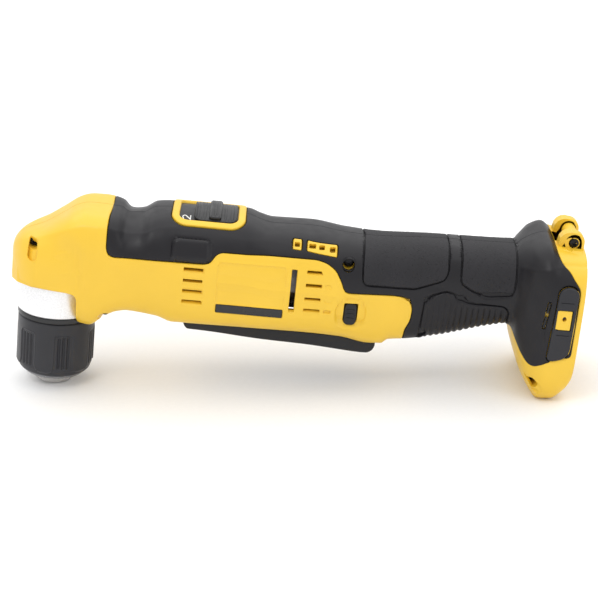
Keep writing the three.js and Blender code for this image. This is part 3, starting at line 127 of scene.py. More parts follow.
bottom_line = smooth_line([
    (HEAD_TIP, 70.0), (-24.3, 66.6), (-23.5, 63.4), (-22.4, 57.5), (-20, 50), (-12, 44.5),
    (9, 42.1),
    (14, CHIN_BOTTOM + 0.5), (19, CHIN_BOTTOM), (NECK_X, NECK_BOTTOM - 3.8),
    (NECK_X + 6, NECK_BOTTOM - 0.7),
    (NECK_X + 12, NECK_BOTTOM), (NECK_X + 27, NECK_BOTTOM - 0.9), (NECK_X + 36, BODY_BOTTOM),
    (GRIP_X - 18, BODY_BOTTOM + 0.8), (GRIP_X, BODY_BOTTOM), (GRIP_X + 16, BODY_BOTTOM - 3),
    (GRIP_X + 22.5, BODY_BOTTOM - 3), (GRIP_X + 26, BODY_BOTTOM - 0.4),
    (GRIP_X + 36, BODY_BOTTOM + 0.8),
    (BASE_X - 36, BODY_BOTTOM + 4.6), (BASE_X - 11, BODY_BOTTOM + 12.4),
    (BASE_X - 4, BODY_BOTTOM + 13.8),
    (BASE_X, BODY_BOTTOM + 12.6), (BASE_X + 2.5, BASE_BOTTOM + 25.4),
    (BASE_X + 5, BASE_BOTTOM + 18.9),
    (BASE_X + 8, BASE_BOTTOM + 12.2), (BASE_X + 14, BASE_BOTTOM + 3.2), (BASE_X + 17, BASE_BOTTOM),
    (BASE_X + 24, BASE_BOTTOM + 0.6), (REAR_X - 2.5, BASE_BOTTOM + 7), (REAR_X, BASE_BOTTOM + 12),
])
body_half_width = smooth_line([
    (-10, 22.9), (0, HEAD_HALF_WIDTH), (14, BODY_HALF_WIDTH - 1.4),
    (NECK_X, BODY_HALF_WIDTH - 0.4),
    (NECK_X + 30, BODY_HALF_WIDTH), (GRIP_X - 19, BODY_HALF_WIDTH - 0.2),
    (GRIP_X, BODY_HALF_WIDTH - 1.4),
    (GRIP_X + 25, GRIP_HALF_WIDTH + 2.6), (BASE_X - 45, GRIP_HALF_WIDTH + 0.9),
    (BASE_X - 11, GRIP_HALF_WIDTH),
    (BASE_X - 2, GRIP_HALF_WIDTH + 0.7), (BASE_X + 2.5, GRIP_HALF_WIDTH + 4.4),
    (BASE_X + 7.5, BASE_HALF_WIDTH - 6), (BASE_X + 14, BASE_HALF_WIDTH - 1.4),
    (BASE_X + 19, BASE_HALF_WIDTH),
    (REAR_X - 2.5, BASE_HALF_WIDTH), (REAR_X, BASE_HALF_WIDTH - 0.6),
])
square_above = smooth_line([(HEAD_TIP, 2.2), (-10, 3.3), (10, 4.2), (24, 4.2), (NECK_X + 10, 2.8),
                            (BASE_X, 2.7),
                            (BASE_X + 8, 4.2), (REAR_X, 3.6)])
square_below = smooth_line([(HEAD_TIP, 2.2), (-10, 2.4), (10, 4.2), (NECK_X, 4.4),
                            (NECK_X + 12, 3.4), (NECK_X + 30, 4),
                            (GRIP_X, 4), (GRIP_X + 25, 3.9), (BASE_X - 8, 3.9), (BASE_X, 3),
                            (BASE_X + 12, 5),
                            (REAR_X, 6)])

HEAD_ROUND_X = -10.0   # ahead of this the head's plan is an ellipse about the chuck axis
HEAD_PLAN_CENTRE = -2.0


def half_width(x):
    reach = HEAD_PLAN_CENTRE - HEAD_TIP
    across = HEAD_HALF_WIDTH * np.sqrt(np.clip(1 - ((x - HEAD_PLAN_CENTRE) / reach) ** 2, 0, 1))
    return np.where(x < HEAD_ROUND_X, across, body_half_width(x))


# Along the skin u is x, stretched over the round head so that the surface has an even scale.
STRETCH = 2 * (HEAD_ROUND_X - HEAD_TIP)
U_TIP = HEAD_ROUND_X - STRETCH


def x_of(u):
    t = np.clip((u - U_TIP) / STRETCH, 0, 1)
    return np.where(u < HEAD_ROUND_X, HEAD_TIP + (HEAD_ROUND_X - HEAD_TIP) * t * t, u)


def u_of(x):
    t = np.sqrt(np.clip((x - HEAD_TIP) / (HEAD_ROUND_X - HEAD_TIP), 0, 1))
    return np.where(x < HEAD_ROUND_X, U_TIP + STRETCH * t, x)


# Round the skin s is the section's angle from the top, times a nominal radius; s > 0 on the left.
ROUND = 28.0
LOWEST = math.pi * ROUND   # s at the bottom of every section


def section(x):
    high, low = top_line(x), bottom_line(x)
    return (high + low) / 2, (high - low) / 2


def s_of_height(x, z):
    middle, half = section(x)
    share = np.clip((z - middle) / half, -1, 1)
    power = np.where(share > 0, square_above(x), square_below(x)) / 2
    return ROUND * np.arccos(np.sign(share) * np.abs(share) ** power)


def s_of_width(x, y, below=False):
    power = (square_below(x) if below else square_above(x)) / 2
    angle = np.arcsin(np.clip(np.abs(y) / half_width(x), 0, 1) ** power)
    return ROUND * (math.pi - angle if below else angle) * np.where(y > 0, -1, 1)


def skin_point(u, s, lift):
    x = x_of(u)
    angle = s / ROUND
    middle, half = section(x)
    cos, sin = np.cos(angle), np.sin(angle)
    power = 2 / np.where(cos > 0, square_above(x), square_below(x))
    y = -np.sign(sin) * np.abs(sin) ** power * np.maximum(half_width(x) + lift, 0.05)
    z = middle + np.sign(cos) * np.abs(cos) ** power * np.maximum(half + lift, 0.05)
    return np.stack([x, y, z], 1)


# ---- Outlines ----

SIDES = ((-1, "left"), (1, "right"))
TINY = 1e-9


def unit(vectors):
    """The vectors at length one."""
    return vectors / np.maximum(np.linalg.norm(vectors, axis=1, keepdims=True), TINY)


def quarter_turn(vectors):
    return np.stack([-vectors[:, 1], vectors[:, 0]], 1)


def corner_points(before, here, after, radius, steps=4):
    """The points of one corner, rounded."""
    ends = []
    for other in (before, after):
        length = np.linalg.norm(other - here)
        ends.append(here + (other - here) / max(length, TINY) * min(radius, 0.45 * length))
    return [(1 - t) ** 2 * ends[0] + 2 * t * (1 - t) * here + t * t * ends[1]
            for t in np.linspace(0, 1, steps + 1)]


def rounded(points, radius=1.5, steps=4):
    """The closed outline with its corners rounded."""
    points = np.array(points, float)
    out = []
    for before, here, after in zip(np.roll(points, 1, 0), points, np.roll(points, -1, 0)):
        out += corner_points(before, here, after, radius, steps)
    return np.array(out)


def dense(points, step=0.8, closed=True):
    points = np.asarray(points, float)
    ends = np.roll(points, -1, 0) if closed else points[1:]
    out = []
    for start, end in zip(points, ends):
        count = max(1, int(np.ceil(np.linalg.norm(end - start) / step)))
        out.extend(start + (end - start) * k / count for k in range(count))
    if not closed:
        out.append(points[-1])
    return np.array(out)


def offset_outline(points, distance):
    """The outline moved outwards, corner by corner; it runs clockwise."""
    points = np.array(points, float)
    incoming = unit(points - np.roll(points, 1, 0))
    across = unit(incoming + unit(np.roll(points, -1, 0) - points))
    reach = distance / np.maximum(0.4, np.sum(across * incoming, axis=1))
    return points + quarter_turn(across) * reach[:, None]


def clockwise(loop):
    x, y = loop.T
    return loop if np.sum(x * np.roll(y, -1) - np.roll(x, -1) * y) < 0 else loop[::-1]


def inside(points, loop):
    """Which points lie inside a closed loop."""
    x, y = points[:, :1], points[:, 1:2]
    x0, y0 = loop.T
    x1, y1 = np.roll(loop, -1, 0).T
    crosses = (y0 > y) != (y1 > y)
    rise = np.where(np.abs(y1 - y0) < 1e-12, 1e-12, y1 - y0)
    return (crosses & (x < (x1 - x0) * (y - y0) / rise + x0)).sum(1) % 2 == 1


def distance_to(points, starts, ends):
    """The least distance from each point to a set of segments."""
    best = np.full(len(points), 1e9)
    along = ends - starts
    length2 = np.maximum((along ** 2).sum(1), 1e-12)
    for k in range(0, len(points), 4000):
        part = points[k:k + 4000, None, :] - starts[None]
        t = np.clip((part * along[None]).sum(2) / length2, 0, 1)
        gap = part - t[..., None] * along[None]
        best[k:k + 4000] = np.sqrt((gap ** 2).sum(2).min(1))
    return best


def loop_distance(points, loop):
    return distance_to(points, loop, np.roll(loop, -1, 0))


# ---- Meshes ----


def new_piece(name, verts, faces, body, material, smooth=35.0, replaces=()):
    mesh = bpy.data.meshes.new(name)
    placed = to_world(verts)
    placed[:, 2] = np.maximum(placed[:, 2], 0)
    mesh.from_pydata([tuple(v) for v in placed], [], faces)
    mesh.validate()
    piece = bpy.data.objects.new(name, mesh)
    bpy.context.scene.collection.objects.link(piece)
    finish_mesh(mesh, smooth)
    mesh.materials.append(materials[material])
    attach(piece, body)
    if replaces:
        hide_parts(*replaces)
    return piece


def finish_mesh(mesh, smooth):
    shape = bmesh.new()
    shape.from_mesh(mesh)
    bmesh.ops.recalc_face_normals(shape, faces=shape.faces)
    shape.to_mesh(mesh)
    shape.free()
    mesh.shade_smooth()
    mesh.set_sharp_from_angle(angle=math.radians(smooth))


RIM_STEPS = (0.06, 0.2, 0.42, 0.72, 1.0)


def skin_mesh(loops, rim=0.5, plain=None, lift=0.0, relief=None, features=(), grid=1.3,
              thickness=SHELL):
    """A piece of skin inside the first loop and outside the others, in (u, s).

    Its edges are rounded over rim, except along the plain test's points; relief(x, y, z, u, s) is
    added to its height; features are extra loops whose neighbourhood is meshed finely.
    """
    starts = np.concatenate(loops)
    ends = np.concatenate([np.roll(loop, -1, 0) for loop in loops])
    middle = (starts + ends) / 2
    keep = np.ones(len(starts), bool) if plain is None else ~plain(middle)
    normal = unit(quarter_turn(ends - starts))

    def in_domain(points):
        within = inside(points, loops[0])
        for hole in loops[1:]:
            within &= ~inside(points, hole)
        return within

    extra = []
    for share in RIM_STEPS:
        for sign in (-1, 1):
            ring = middle + sign * normal * rim * share
            ring = ring[keep & in_domain(ring)]
            if len(ring):
                ring = ring[distance_to(ring, starts, ends) > 0.93 * rim * share]
                extra.append(ring)
    for loop, offsets in features:
        side = unit(quarter_turn(np.roll(loop, -1, 0) - np.roll(loop, 1, 0)))
        for offset in offsets:
            ring = loop + side * offset
            ring = ring[in_domain(ring)]
            if len(ring):
                near = distance_to(ring, starts, ends) > 0.15
                near &= loop_distance(ring, loop) > 0.9 * abs(offset) - 1e-6
                extra.append(ring[near])
    low, high = loops[0].min(0), loops[0].max(0)
    columns = np.arange(low[0], high[0] + grid, grid)
    rows = np.arange(low[1], high[1] + grid, grid)
    lattice = np.array([(u, s + (grid / 2 if k % 2 else 0)) for k, u in enumerate(columns)
                        for s in rows])
    lattice = lattice[in_domain(lattice)]
    lattice = lattice[distance_to(lattice, starts, ends) > max(rim, 0.3) * 1.15]
    for loop, offsets in features:
        spread = max(abs(o) for o in offsets) if offsets else 0
        lattice = lattice[loop_distance(lattice, loop) > spread + 0.35]
    points = np.concatenate([starts, *extra, lattice])
    edges = []
    base = 0
    for loop in loops:
        edges += [(base + i, base + (i + 1) % len(loop)) for i in range(len(loop))]
        base += len(loop)
    verts, _, faces, *_ = delaunay_2d_cdt([Vector(p) for p in points], edges, [], 0, 1e-5)
    flat = np.array([tuple(v) for v in verts])
    faces = np.array(faces)
    centres = flat[faces].mean(1)
    faces = faces[in_domain(centres)]
    drop = np.zeros(len(flat))
    if rim > 0 and keep.any():
        gap = distance_to(flat, starts[keep], ends[keep])
        drop = rim - np.sqrt(np.maximum(rim * rim - np.maximum(rim - gap, 0) ** 2, 0))
    u, s = flat.T
    height = lift - drop
    if relief is not None:
        x, y, z = skin_point(u, s, np.zeros(len(u))).T
        height = height + relief(x, y, z, u, s)
    front = skin_point(u, s, height)
    back = skin_point(u, s, np.full(len(u), lift - thickness))
    count = len(flat)
    pairs = np.concatenate([faces[:, [0, 1]], faces[:, [1, 2]], faces[:, [2, 0]]])
    owned = {}
    for a, b in pairs.tolist():
        owned[(a, b)] = True
    walls = [(b, a, a + count, b + count) for a, b in owned if (b, a) not in owned]
    all_faces = faces.tolist() + (faces[:, ::-1] + count).tolist() + walls
    used = np.unique(np.concatenate([faces.ravel(), faces.ravel() + count]))
    index = np.full(2 * count, -1)
    index[used] = np.arange(len(used))
    return np.concatenate([front, back])[used], [[int(index[i]) for i in face]
                                                 for face in all_faces]


def mirror(verts, faces):
    return verts * np.array([1, -1, 1]), [face[::-1] for face in faces]


def both_sides(name, mesh, body, material, replaces=None):
    """The piece and its mirror image; replaces is the CAD nodes' common name."""
    pieces = []
    for (_, side), part in zip(SIDES, (mesh, mirror(*mesh))):
        stands_for = [f"{replaces}_{side}"] if replaces else []
        pieces.append(new_piece(f"{name}_{side}", *part, body, material, replaces=stands_for))
    return pieces


# ---- Materials ----

def principled(name, color, roughness, metallic=0.0, coat=0.0, coat_roughness=0.2, sheen=0.0,
               transmission=0.0,
               shine=0.5):
    material = bpy.data.materials.new(name)
    material.use_nodes = True
    shader = material.node_tree.nodes["Principled BSDF"]
    shader.inputs["Base Color"].default_value = (*color, 1)
    shader.inputs["Roughness"].default_value = roughness
    shader.inputs["Metallic"].default_value = metallic
    shader.inputs["Specular IOR Level"].default_value = shine
    shader.inputs["Coat Weight"].default_value = coat
    shader.inputs["Coat Roughness"].default_value = coat_roughness
    shader.inputs["Sheen Weight"].default_value = sheen
    shader.inputs["Transmission Weight"].default_value = transmission
    return material, material.node_tree, shader


def link(tree, start, end):
    tree.links.new(start, end)


def noise(tree, scale, detail=3.0, stretch=None, kind="ShaderNodeTexNoise"):
    """A texture on the object's own coordinates; scale is in cycles per metre."""
    place = tree.nodes.new("ShaderNodeTexCoord")
    texture = tree.nodes.new(kind)
    texture.inputs["Scale"].default_value = scale
    if "Detail" in texture.inputs:
        texture.inputs["Detail"].default_value = detail
    if stretch:
        mapping = tree.nodes.new("ShaderNodeMapping")
        mapping.inputs["Scale"].default_value = stretch
        link(tree, place.outputs["Object"], mapping.inputs["Vector"])
        link(tree, mapping.outputs["Vector"], texture.inputs["Vector"])
    else:
        link(tree, place.outputs["Object"], texture.inputs["Vector"])
    return texture


def ramp(tree, source, low, high, low_at=0.3, high_at=0.7):
    node = tree.nodes.new("ShaderNodeMapRange")
    node.inputs["From Min"].default_value = low_at
    node.inputs["From Max"].default_value = high_at
    node.inputs["To Min"].default_value = low
    node.inputs["To Max"].default_value = high
    link(tree, source, node.inputs["Value"])
    return node.outputs["Result"]


def tint(tree, shader, source, first, second):
    mix = tree.nodes.new("ShaderNodeMix")
    mix.data_type = "RGBA"
    mix.inputs["A"].default_value = (*first, 1)
    mix.inputs["B"].default_value = (*second, 1)
    link(tree, source, mix.inputs["Factor"])
    link(tree, mix.outputs["Result"], shader.inputs["Base Color"])


def bump(tree, shader, layers):
    """Stacks (height, distance in metres) layers into the normal."""
    normal = None
    for height, distance in layers:
        node = tree.nodes.new("ShaderNodeBump")
        node.inputs["Distance"].default_value = distance
        link(tree, height, node.inputs["Height"])
        if normal is not None:
            link(tree, normal, node.inputs["Normal"])
        normal = node.outputs["Normal"]
    link(tree, normal, shader.inputs["Normal"])


def scaled(color, share):
    return tuple(min(1.0, c * share) for c in color)


def moulded(name, color, roughness, grain=2600, depth=0.00003, spread=0.06, coat=0.0, sheen=0.0,
            shine=0.5):
    """Moulded plastic or rubber: a fine even grain, faint clouding, and soft wear in its gloss."""
    material, tree, shader = principled(name, color, roughness, coat=coat, sheen=sheen,
                                        shine=shine)
    clouds = noise(tree, 35, 4)
    tint(tree, shader, ramp(tree, clouds.outputs["Fac"], 0, 1), scaled(color, 1 - spread),
         scaled(color, 1 + spread))
    wear = noise(tree, 160, 5)
    link(tree, ramp(tree, wear.outputs["Fac"], roughness - 0.05, roughness + 0.06),
         shader.inputs["Roughness"])
    fine = noise(tree, grain, 2)
    bump(tree, shader, [(fine.outputs["Fac"], depth), (clouds.outputs["Fac"], depth * 3)])
    return material


def leather_rubber(name, color):
    """The grip panels' pebbled rubber."""
    material, tree, shader = principled(name, color, 0.5, shine=0.42)
    cells = noise(tree, 760, kind="ShaderNodeTexVoronoi")
    pebble = ramp(tree, cells.outputs["Distance"], 1, 0, 0.05, 0.75)
    clouds = noise(tree, 60, 4)
    tint(tree, shader, ramp(tree, clouds.outputs["Fac"], 0, 1), scaled(color, 0.85),
         scaled(color, 1.2))
    link(tree, ramp(tree, pebble, 0.62, 0.42, 0, 1), shader.inputs["Roughness"])
    fine = noise(tree, 3000, 2)
    bump(tree, shader, [(pebble, 0.0005), (fine.outputs["Fac"], 0.00004)])
    return material


def metal(name, color, roughness, stretch=(1, 1, 1), grain=900, depth=0.00001):
    """Machined or cast metal: streaks or specks along the stretch, and uneven gloss."""
    material, tree, shader = principled(name, color, roughness, metallic=1.0)
    streaks = noise(tree, grain, 4, stretch)
    tint(tree, shader, ramp(tree, streaks.outputs["Fac"], 0, 1), scaled(color, 0.88),
         scaled(color, 1.06))
    wear = noise(tree, 220, 5)
    link(tree, ramp(tree, wear.outputs["Fac"], roughness - 0.06, roughness + 0.1),
         shader.inputs["Roughness"])
    bump(tree, shader, [(streaks.outputs["Fac"], depth)])
    return material


YELLOW = (0.79, 0.50, 0.034)
RUBBER = (0.0075, 0.0068, 0.009)
materials = {
    "yellow_plastic": moulded("yellow_plastic", YELLOW, 0.36, grain=2200, depth=0.00002,
                              spread=0.03),
    "grip_rubber": moulded("grip_rubber", RUBBER, 0.38, grain=3000, spread=0.12, shine=0.32),
    "grip_grain": leather_rubber("grip_grain", scaled(RUBBER, 1.2)),
    "black_plastic": moulded("black_plastic", (0.012, 0.012, 0.013), 0.34, spread=0.12,
                             shine=0.35),
    "paddle_plastic": moulded("paddle_plastic", (0.016, 0.016, 0.018), 0.42, spread=0.12,
                              shine=0.3),
    "sleeve_plastic": moulded("sleeve_plastic", (0.024, 0.024, 0.028), 0.4, grain=2400,
                              spread=0.1, shine=0.35),
    "black_screw": metal("black_screw", (0.03, 0.03, 0.032), 0.35),
    "bare_aluminium": metal("bare_aluminium", (0.88, 0.88, 0.89), 0.42, grain=1500, depth=0.00003),
    "bright_steel": metal("bright_steel", (0.74, 0.72, 0.7), 0.28, stretch=(1, 1, 6), grain=500),
    "dark_steel": metal("dark_steel", (0.2, 0.2, 0.21), 0.4),
    "graphite": moulded("graphite", (0.03, 0.03, 0.03), 0.55),
    "contact_copper": metal("contact_copper", (0.8, 0.42, 0.24), 0.32, stretch=(8, 1, 1)),
    "red_insulation": moulded("red_insulation", (0.55, 0.02, 0.015), 0.4, spread=0.08),
    "black_insulation": moulded("black_insulation", (0.015, 0.015, 0.015), 0.4, spread=0.1),
    # Gloss black of the sleeve's top ring; this black also stands as painted shade for the gap
    # under the collar.
    "gloss_black": moulded("gloss_black", (0.01, 0.01, 0.011), 0.16, grain=1200, depth=0.000008,
                           spread=0.1),
    "rim_grey": metal("rim_grey", (0.3, 0.3, 0.31), 0.32),
    "pad_rubber": moulded("pad_rubber", (0.022, 0.022, 0.026), 0.5, grain=2600, spread=0.1,
                          shine=0.3),
    "white_print": moulded("white_print", (0.75, 0.75, 0.73), 0.5, spread=0.05),
    "label_black": moulded("label_black", (0.012, 0.012, 0.013), 0.25, grain=1500, depth=0.00001,
                           spread=0.1),
}
lens, lens_tree, lens_shader = principled("lamp_lens", (0.95, 0.96, 0.98), 0.08, transmission=0.9)
lens_ripple = noise(lens_tree, 900, 1)
bump(lens_tree, lens_shader, [(lens_ripple.outputs["Fac"], 0.00001)])
materials["lamp_lens"] = lens


# ---- Solids made in the drill's frame ----

def loft_solid(lift, start, end, step=1.5, around=96):
    """The housing's form moved out by lift, closed at both ends: (verts, faces)."""
    us = np.arange(u_of(np.array(start)), end, step)
    us = np.append(us, end)
    ss = np.linspace(-LOWEST, LOWEST, around, endpoint=False)
    verts = np.concatenate([skin_point(np.full(around, u), ss, np.full(around, lift)) for u in us])
    return verts, tube_faces(len(us), around)


def tube_faces(rings, around):
    """Faces of a tube of rings, closed at both ends."""
    faces = []
    for i in range(rings - 1):
        for j in range(around):
            k = (j + 1) % around
            faces.append((i * around + j, i * around + k, (i + 1) * around + k,
                          (i + 1) * around + j))
    faces.append(tuple(range(around))[::-1])
    faces.append(tuple((rings - 1) * around + j for j in range(around)))
    return faces


def box_solid(x0, x1, y0, y1, z0, z1):
    verts = np.array([(x, y, z) for x in (x0, x1) for y in (y0, y1) for z in (z0, z1)], float)
    faces = [(0, 1, 3, 2), (4, 6, 7, 5), (0, 4, 5, 1), (2, 3, 7, 6), (0, 2, 6, 4), (1, 5, 7, 3)]
    return verts, faces


def scratch(verts, faces):
    mesh = bpy.data.meshes.new("scratch")
    mesh.from_pydata([tuple(v) for v in to_world(verts)], [], faces)
    shape = bmesh.new()
    shape.from_mesh(mesh)
    bmesh.ops.recalc_face_normals(shape, faces=shape.faces)
    shape.to_mesh(mesh)
    shape.free()
    thing = bpy.data.objects.new("scratch", mesh)
    bpy.context.scene.collection.objects.link(thing)
    return thing


def carve(piece, operation, tools):
    """Applies booleans with scratch objects, then removes them."""
    for tool in tools:
        modifier = piece.modifiers.new("carve", "BOOLEAN")
        modifier.operation = operation
        modifier.solver = "MANIFOLD"
        modifier.object = tool
    graph = bpy.context.evaluated_depsgraph_get()
    result = bpy.data.meshes.new_from_object(piece.evaluated_get(graph))
    piece.modifiers.clear()
    piece.data = result
    for tool in tools:
        bpy.data.objects.remove(tool)


def turned(profile, segments=128, radius_at=None):
    """A lathe about the chuck axis; the profile closes on itself."""
    profile = np.array(profile, float)
    count = len(profile)
    angles = np.linspace(0, 2 * math.pi, segments, endpoint=False)
    verts = []
    for angle in angles:
        radius = profile[:, 0] if radius_at is None else radius_at(angle, profile)
        verts.append(np.stack([radius * math.sin(angle), -radius * math.cos(angle),
                               profile[:, 1]], 1))
    faces = []
    for i in range(segments):
        j = (i + 1) % segments
        for k in range(count):
            n = (k + 1) % count
            faces.append((i * count + k, j * count + k, j * count + n, i * count + n))
    return np.concatenate(verts), faces


def rounded_slab(outline, y0, y1, rim=0.8, steps=4):
    """The (x, z) outline drawn from y0 to y1 with rounded edges."""
    outline = clockwise(np.array(outline, float))
    layers = [(y0 + rim * (1 - math.cos(a)), -rim * (1 - math.sin(a)))
              for a in np.linspace(0, math.pi / 2, steps + 1)]
    layers += [(y1 - rim * (1 - math.cos(a)), -rim * (1 - math.sin(a)))
               for a in np.linspace(math.pi / 2, 0, steps + 1)]
    verts = []
    count = len(outline)
    for y, grow in layers:
        ring = offset_outline(outline, grow)
        verts.append(np.stack([ring[:, 0], np.full(count, y), ring[:, 1]], 1))
    return np.concatenate(verts), tube_faces(len(layers), count)


def arc(cx, cz, radius, start, end, steps=12):
    angles = np.radians(np.linspace(start, end, steps))
    return [(cx + radius * math.cos(a), cz + radius * math.sin(a)) for a in angles]


def soft_step(value, width):
    """0 below, 1 above, smooth over width each side."""
    t = np.clip(value / width / 2 + 0.5, 0, 1)
    return t * t * (3 - 2 * t)


def hill(distance, width):
    return np.exp(-(distance / width) ** 2)


# ---- Outlines on the housing, as (x, z) from the left ----

BEYOND = LOWEST + 6

# The overmould's lower edge, from the top of the neck to the bottom of the grip.
UPPER_EDGE = [
    (NECK_X, 120), (NECK_X, 86.3), (NECK_X + 1.2, 82.9), (NECK_X + 4, 81.8), (62.8, 82.2),
    (77, 82.5), (80, 83.6),
    (82.3, 87.6), (85.2, 89.2), (134.5, 89.4), (140, 87.9), (144.8, 84.6), (148, 79),
    (149.7, 74.6), (151.6, 73),
    (177, 72.8), (182, 72), (184.9, 69.8), (186.4, 66), (186, 59.1), (183.7, 53.5), (183.2, 35),
]
# The overmould's rear edge, from the top of the base, behind the pad and round the lower point.
REAR_EDGE = [
    (256.7, 125), (257.2, 104.1), (260.1, 99.8), (263.6, 97.4), (266.2, 93.8), (269.8, 89.5),
    (269.8, 52),
    (259.8, 49), (254.3, 45.6), (251.6, 44.2), (248.7, 44.5), (245.4, 48.1), (242.3, 53.5),
    (239.6, 58.6),
    (238.4, 50),
]


def curve_through(points, step=0.7, sharp=2.2):
    """The open polyline with its corners rounded, as dense points."""
    points = np.array(points, float)
    out = [points[0]]
    for before, here, after in zip(points, points[1:], points[2:]):
        out += corner_points(before, here, after, sharp)
    out.append(points[-1])
    return dense(np.array(out), step, closed=False)


def side_to_skin(points):
    """(x, z) points, which may lie above or below the housing, as (u, s) on the left."""
    x, z = np.asarray(points, float).T
    high, low = top_line(x), bottom_line(x)
    s = s_of_height(x, z)
    s = np.where(z > high, -(z - high), s)
    s = np.where(z < low, LOWEST + (low - z), s)
    return np.stack([u_of(x), s], 1)


SEAM_CLEAR = 0.4   # outlines stop this far from the seams, in s


def between_seams(line):
    return line[(line[:, 1] > SEAM_CLEAR) & (line[:, 1] < LOWEST - SEAM_CLEAR)]


def moved_aside(line, distance):
    """An open line moved to its left by distance."""
    return line + quarter_turn(unit(np.gradient(line, axis=0))) * distance


upper_edge = side_to_skin(curve_through(UPPER_EDGE))
rear_edge = side_to_skin(curve_through(REAR_EDGE))
EDGE_GAP = 0.1


def seam_top(x):
    return s_of_width(x, np.full(np.shape(x), -SEAM))


def seam_low(x):
    return s_of_width(x, np.full(np.shape(x), -SEAM), below=True)


def circle(x, z, radius, count=28):
    angles = np.linspace(0, 2 * math.pi, count, endpoint=False)
    return np.stack([x + radius * np.cos(angles), z + radius * np.sin(angles)], 1)


def rectangle(x0, x1, z0, z1):
    return [(x0, z0), (x1, z0), (x1, z1), (x0, z1)]


def round_hole(place, radius, count=28):
    return side_to_skin(dense(circle(*place, radius, count), 0.6))


def side_hole(points, radius=0.5):
    return side_to_skin(dense(rounded(points, radius), 0.6))


# ---- Yellow shells ----

def front_outline():
    """Yellow skin of the head and body, clockwise from the tip, in (u, s)."""
    top = np.arange(HEAD_TIP + 0.05, NECK_X + 1, 0.8)
    line = [np.stack([u_of(top), seam_top(top)], 1)]
    line.append(between_seams(moved_aside(upper_edge, EDGE_GAP)))
    low = np.arange(183.2, CHIN_X + 2.0, -0.8)
    line.append(np.stack([u_of(low), seam_low(low)], 1))
    chin = curve_through([(14.4, CHIN_BOTTOM + 0.35), (CHIN_X + 0.1, 41.5), (CHIN_X, 55.6),
                          (11.2, HEAD_EDGE - 0.4),
                          (3.6, HEAD_EDGE), (-3.7, HEAD_EDGE + 0.3), (-12.3, HEAD_EDGE + 1),
                          (-18, HEAD_EDGE + 2.2),
                          (-21.4, HEAD_EDGE + 3), (-23.1, HEAD_EDGE + 3.4)])
    chin = side_to_skin(chin)
    line.append(chin[chin[:, 1] < LOWEST - SEAM_CLEAR])
    tip = np.arange(-23.3, HEAD_TIP + 0.05, -0.25)
    line.append(np.stack([u_of(tip), np.full(len(tip), LOWEST - 0.3)], 1))
    return dense(np.concatenate(line), 0.8)


def base_outline():
    """Yellow skin of the base, in (u, s)."""
    edge = between_seams(moved_aside(rear_edge, EDGE_GAP)[::-1])
    start = x_of(edge[0][0])
    low = np.arange(start + 0.4, REAR_X, 0.8)
    rear = np.linspace(float(seam_low(REAR_X)), float(seam_top(REAR_X)), 160)
    top = np.arange(REAR_X, x_of(edge[-1][0]) + 0.4, -0.8)
    line = [edge, np.stack([top[::-1], seam_top(top[::-1])], 1),
            np.stack([np.full(len(rear), REAR_X), rear[::-1]], 1),
            np.stack([low[::-1], seam_low(low[::-1])], 1)]
    return dense(np.concatenate(line), 0.8)


def overmould_outline():
    """Rubber skin, in (u, s): it wraps under the grip."""
    front = between_seams(moved_aside(upper_edge, -EDGE_GAP))
    back = between_seams(moved_aside(rear_edge, -EDGE_GAP))
    top = np.arange(x_of(back[0][0]) - 0.4, NECK_X + 0.3, -0.8)
    low = np.arange(x_of(front[-1][0]) + 0.4, x_of(back[-1][0]), 0.8)
    line = [np.stack([top, seam_top(top)], 1), front, np.stack([low, seam_low(low)], 1),
            back[::-1]]
    return dense(np.concatenate(line), 0.8)


PANEL_1 = [(159.1, 125), (158.4, 88.8), (158.9, 79.9), (160.9, 77.8), (175.9, 77.3),
           (186.7, 77.2), (201.1, 82.7),
           (202.9, 86.4), (203, 125)]
PANEL_2 = [(209.1, 125), (209.9, 83.5), (211, 81.6), (216.5, 78.4), (219.6, 77.3), (236, 77.8),
           (237.7, 79.3),
           (238.2, 82.4), (238.2, 125)]
PANEL_3 = [(191.9, 20), (191.7, 59.2), (192.3, 70.9), (194, 73.2), (203.1, 77.1), (206.5, 76.3),
           (215.1, 71.6),
           (219.2, 71.1), (234.5, 71), (236.8, 68.5), (237, 20)]
GROOVE = 0.45


def panel_loop(points, spare=0.0):
    line = side_to_skin(curve_through(points + [points[0]], 0.7, 1.6))
    return grown_loop(line[:-1], spare)


def grown_loop(loop, spare):
    return offset_outline(clockwise(loop), spare)


BEZEL_HALF_LENGTH = 19.1
BEZEL_HALF_WIDTH = 18.4
BEZEL_FRAME = 3.9
PROUD = 0.8


def plan_ring(half_length, half_width_, corner, x=SELECTOR_X):
    """A rounded rectangle in plan on the top, as (u, s)."""
    points = []
    for cx, cy, start in ((half_length - corner, half_width_ - corner, 0),
                          (-half_length + corner, half_width_ - corner, 90),
                          (-half_length + corner, -half_width_ + corner, 180),
                          (half_length - corner, -half_width_ + corner, 270)):
        points += arc(cx, cy, corner, start, start + 90, 8)
    points = dense(points, 0.7) + np.array([x, 0])
    return np.stack([points[:, 0], s_of_width(points[:, 0], points[:, 1])], 1)


def bottom_ring(x0, x1, wide):
    points = [(x0, -wide), (x1, -wide)]
    points = dense(points, 0.8, closed=False)
    s = s_of_width(points[:, 0], points[:, 1], below=True)
    line = np.stack([points[:, 0], s], 1)
    return np.concatenate([line, [(x1, BEYOND), (x0, BEYOND)]])


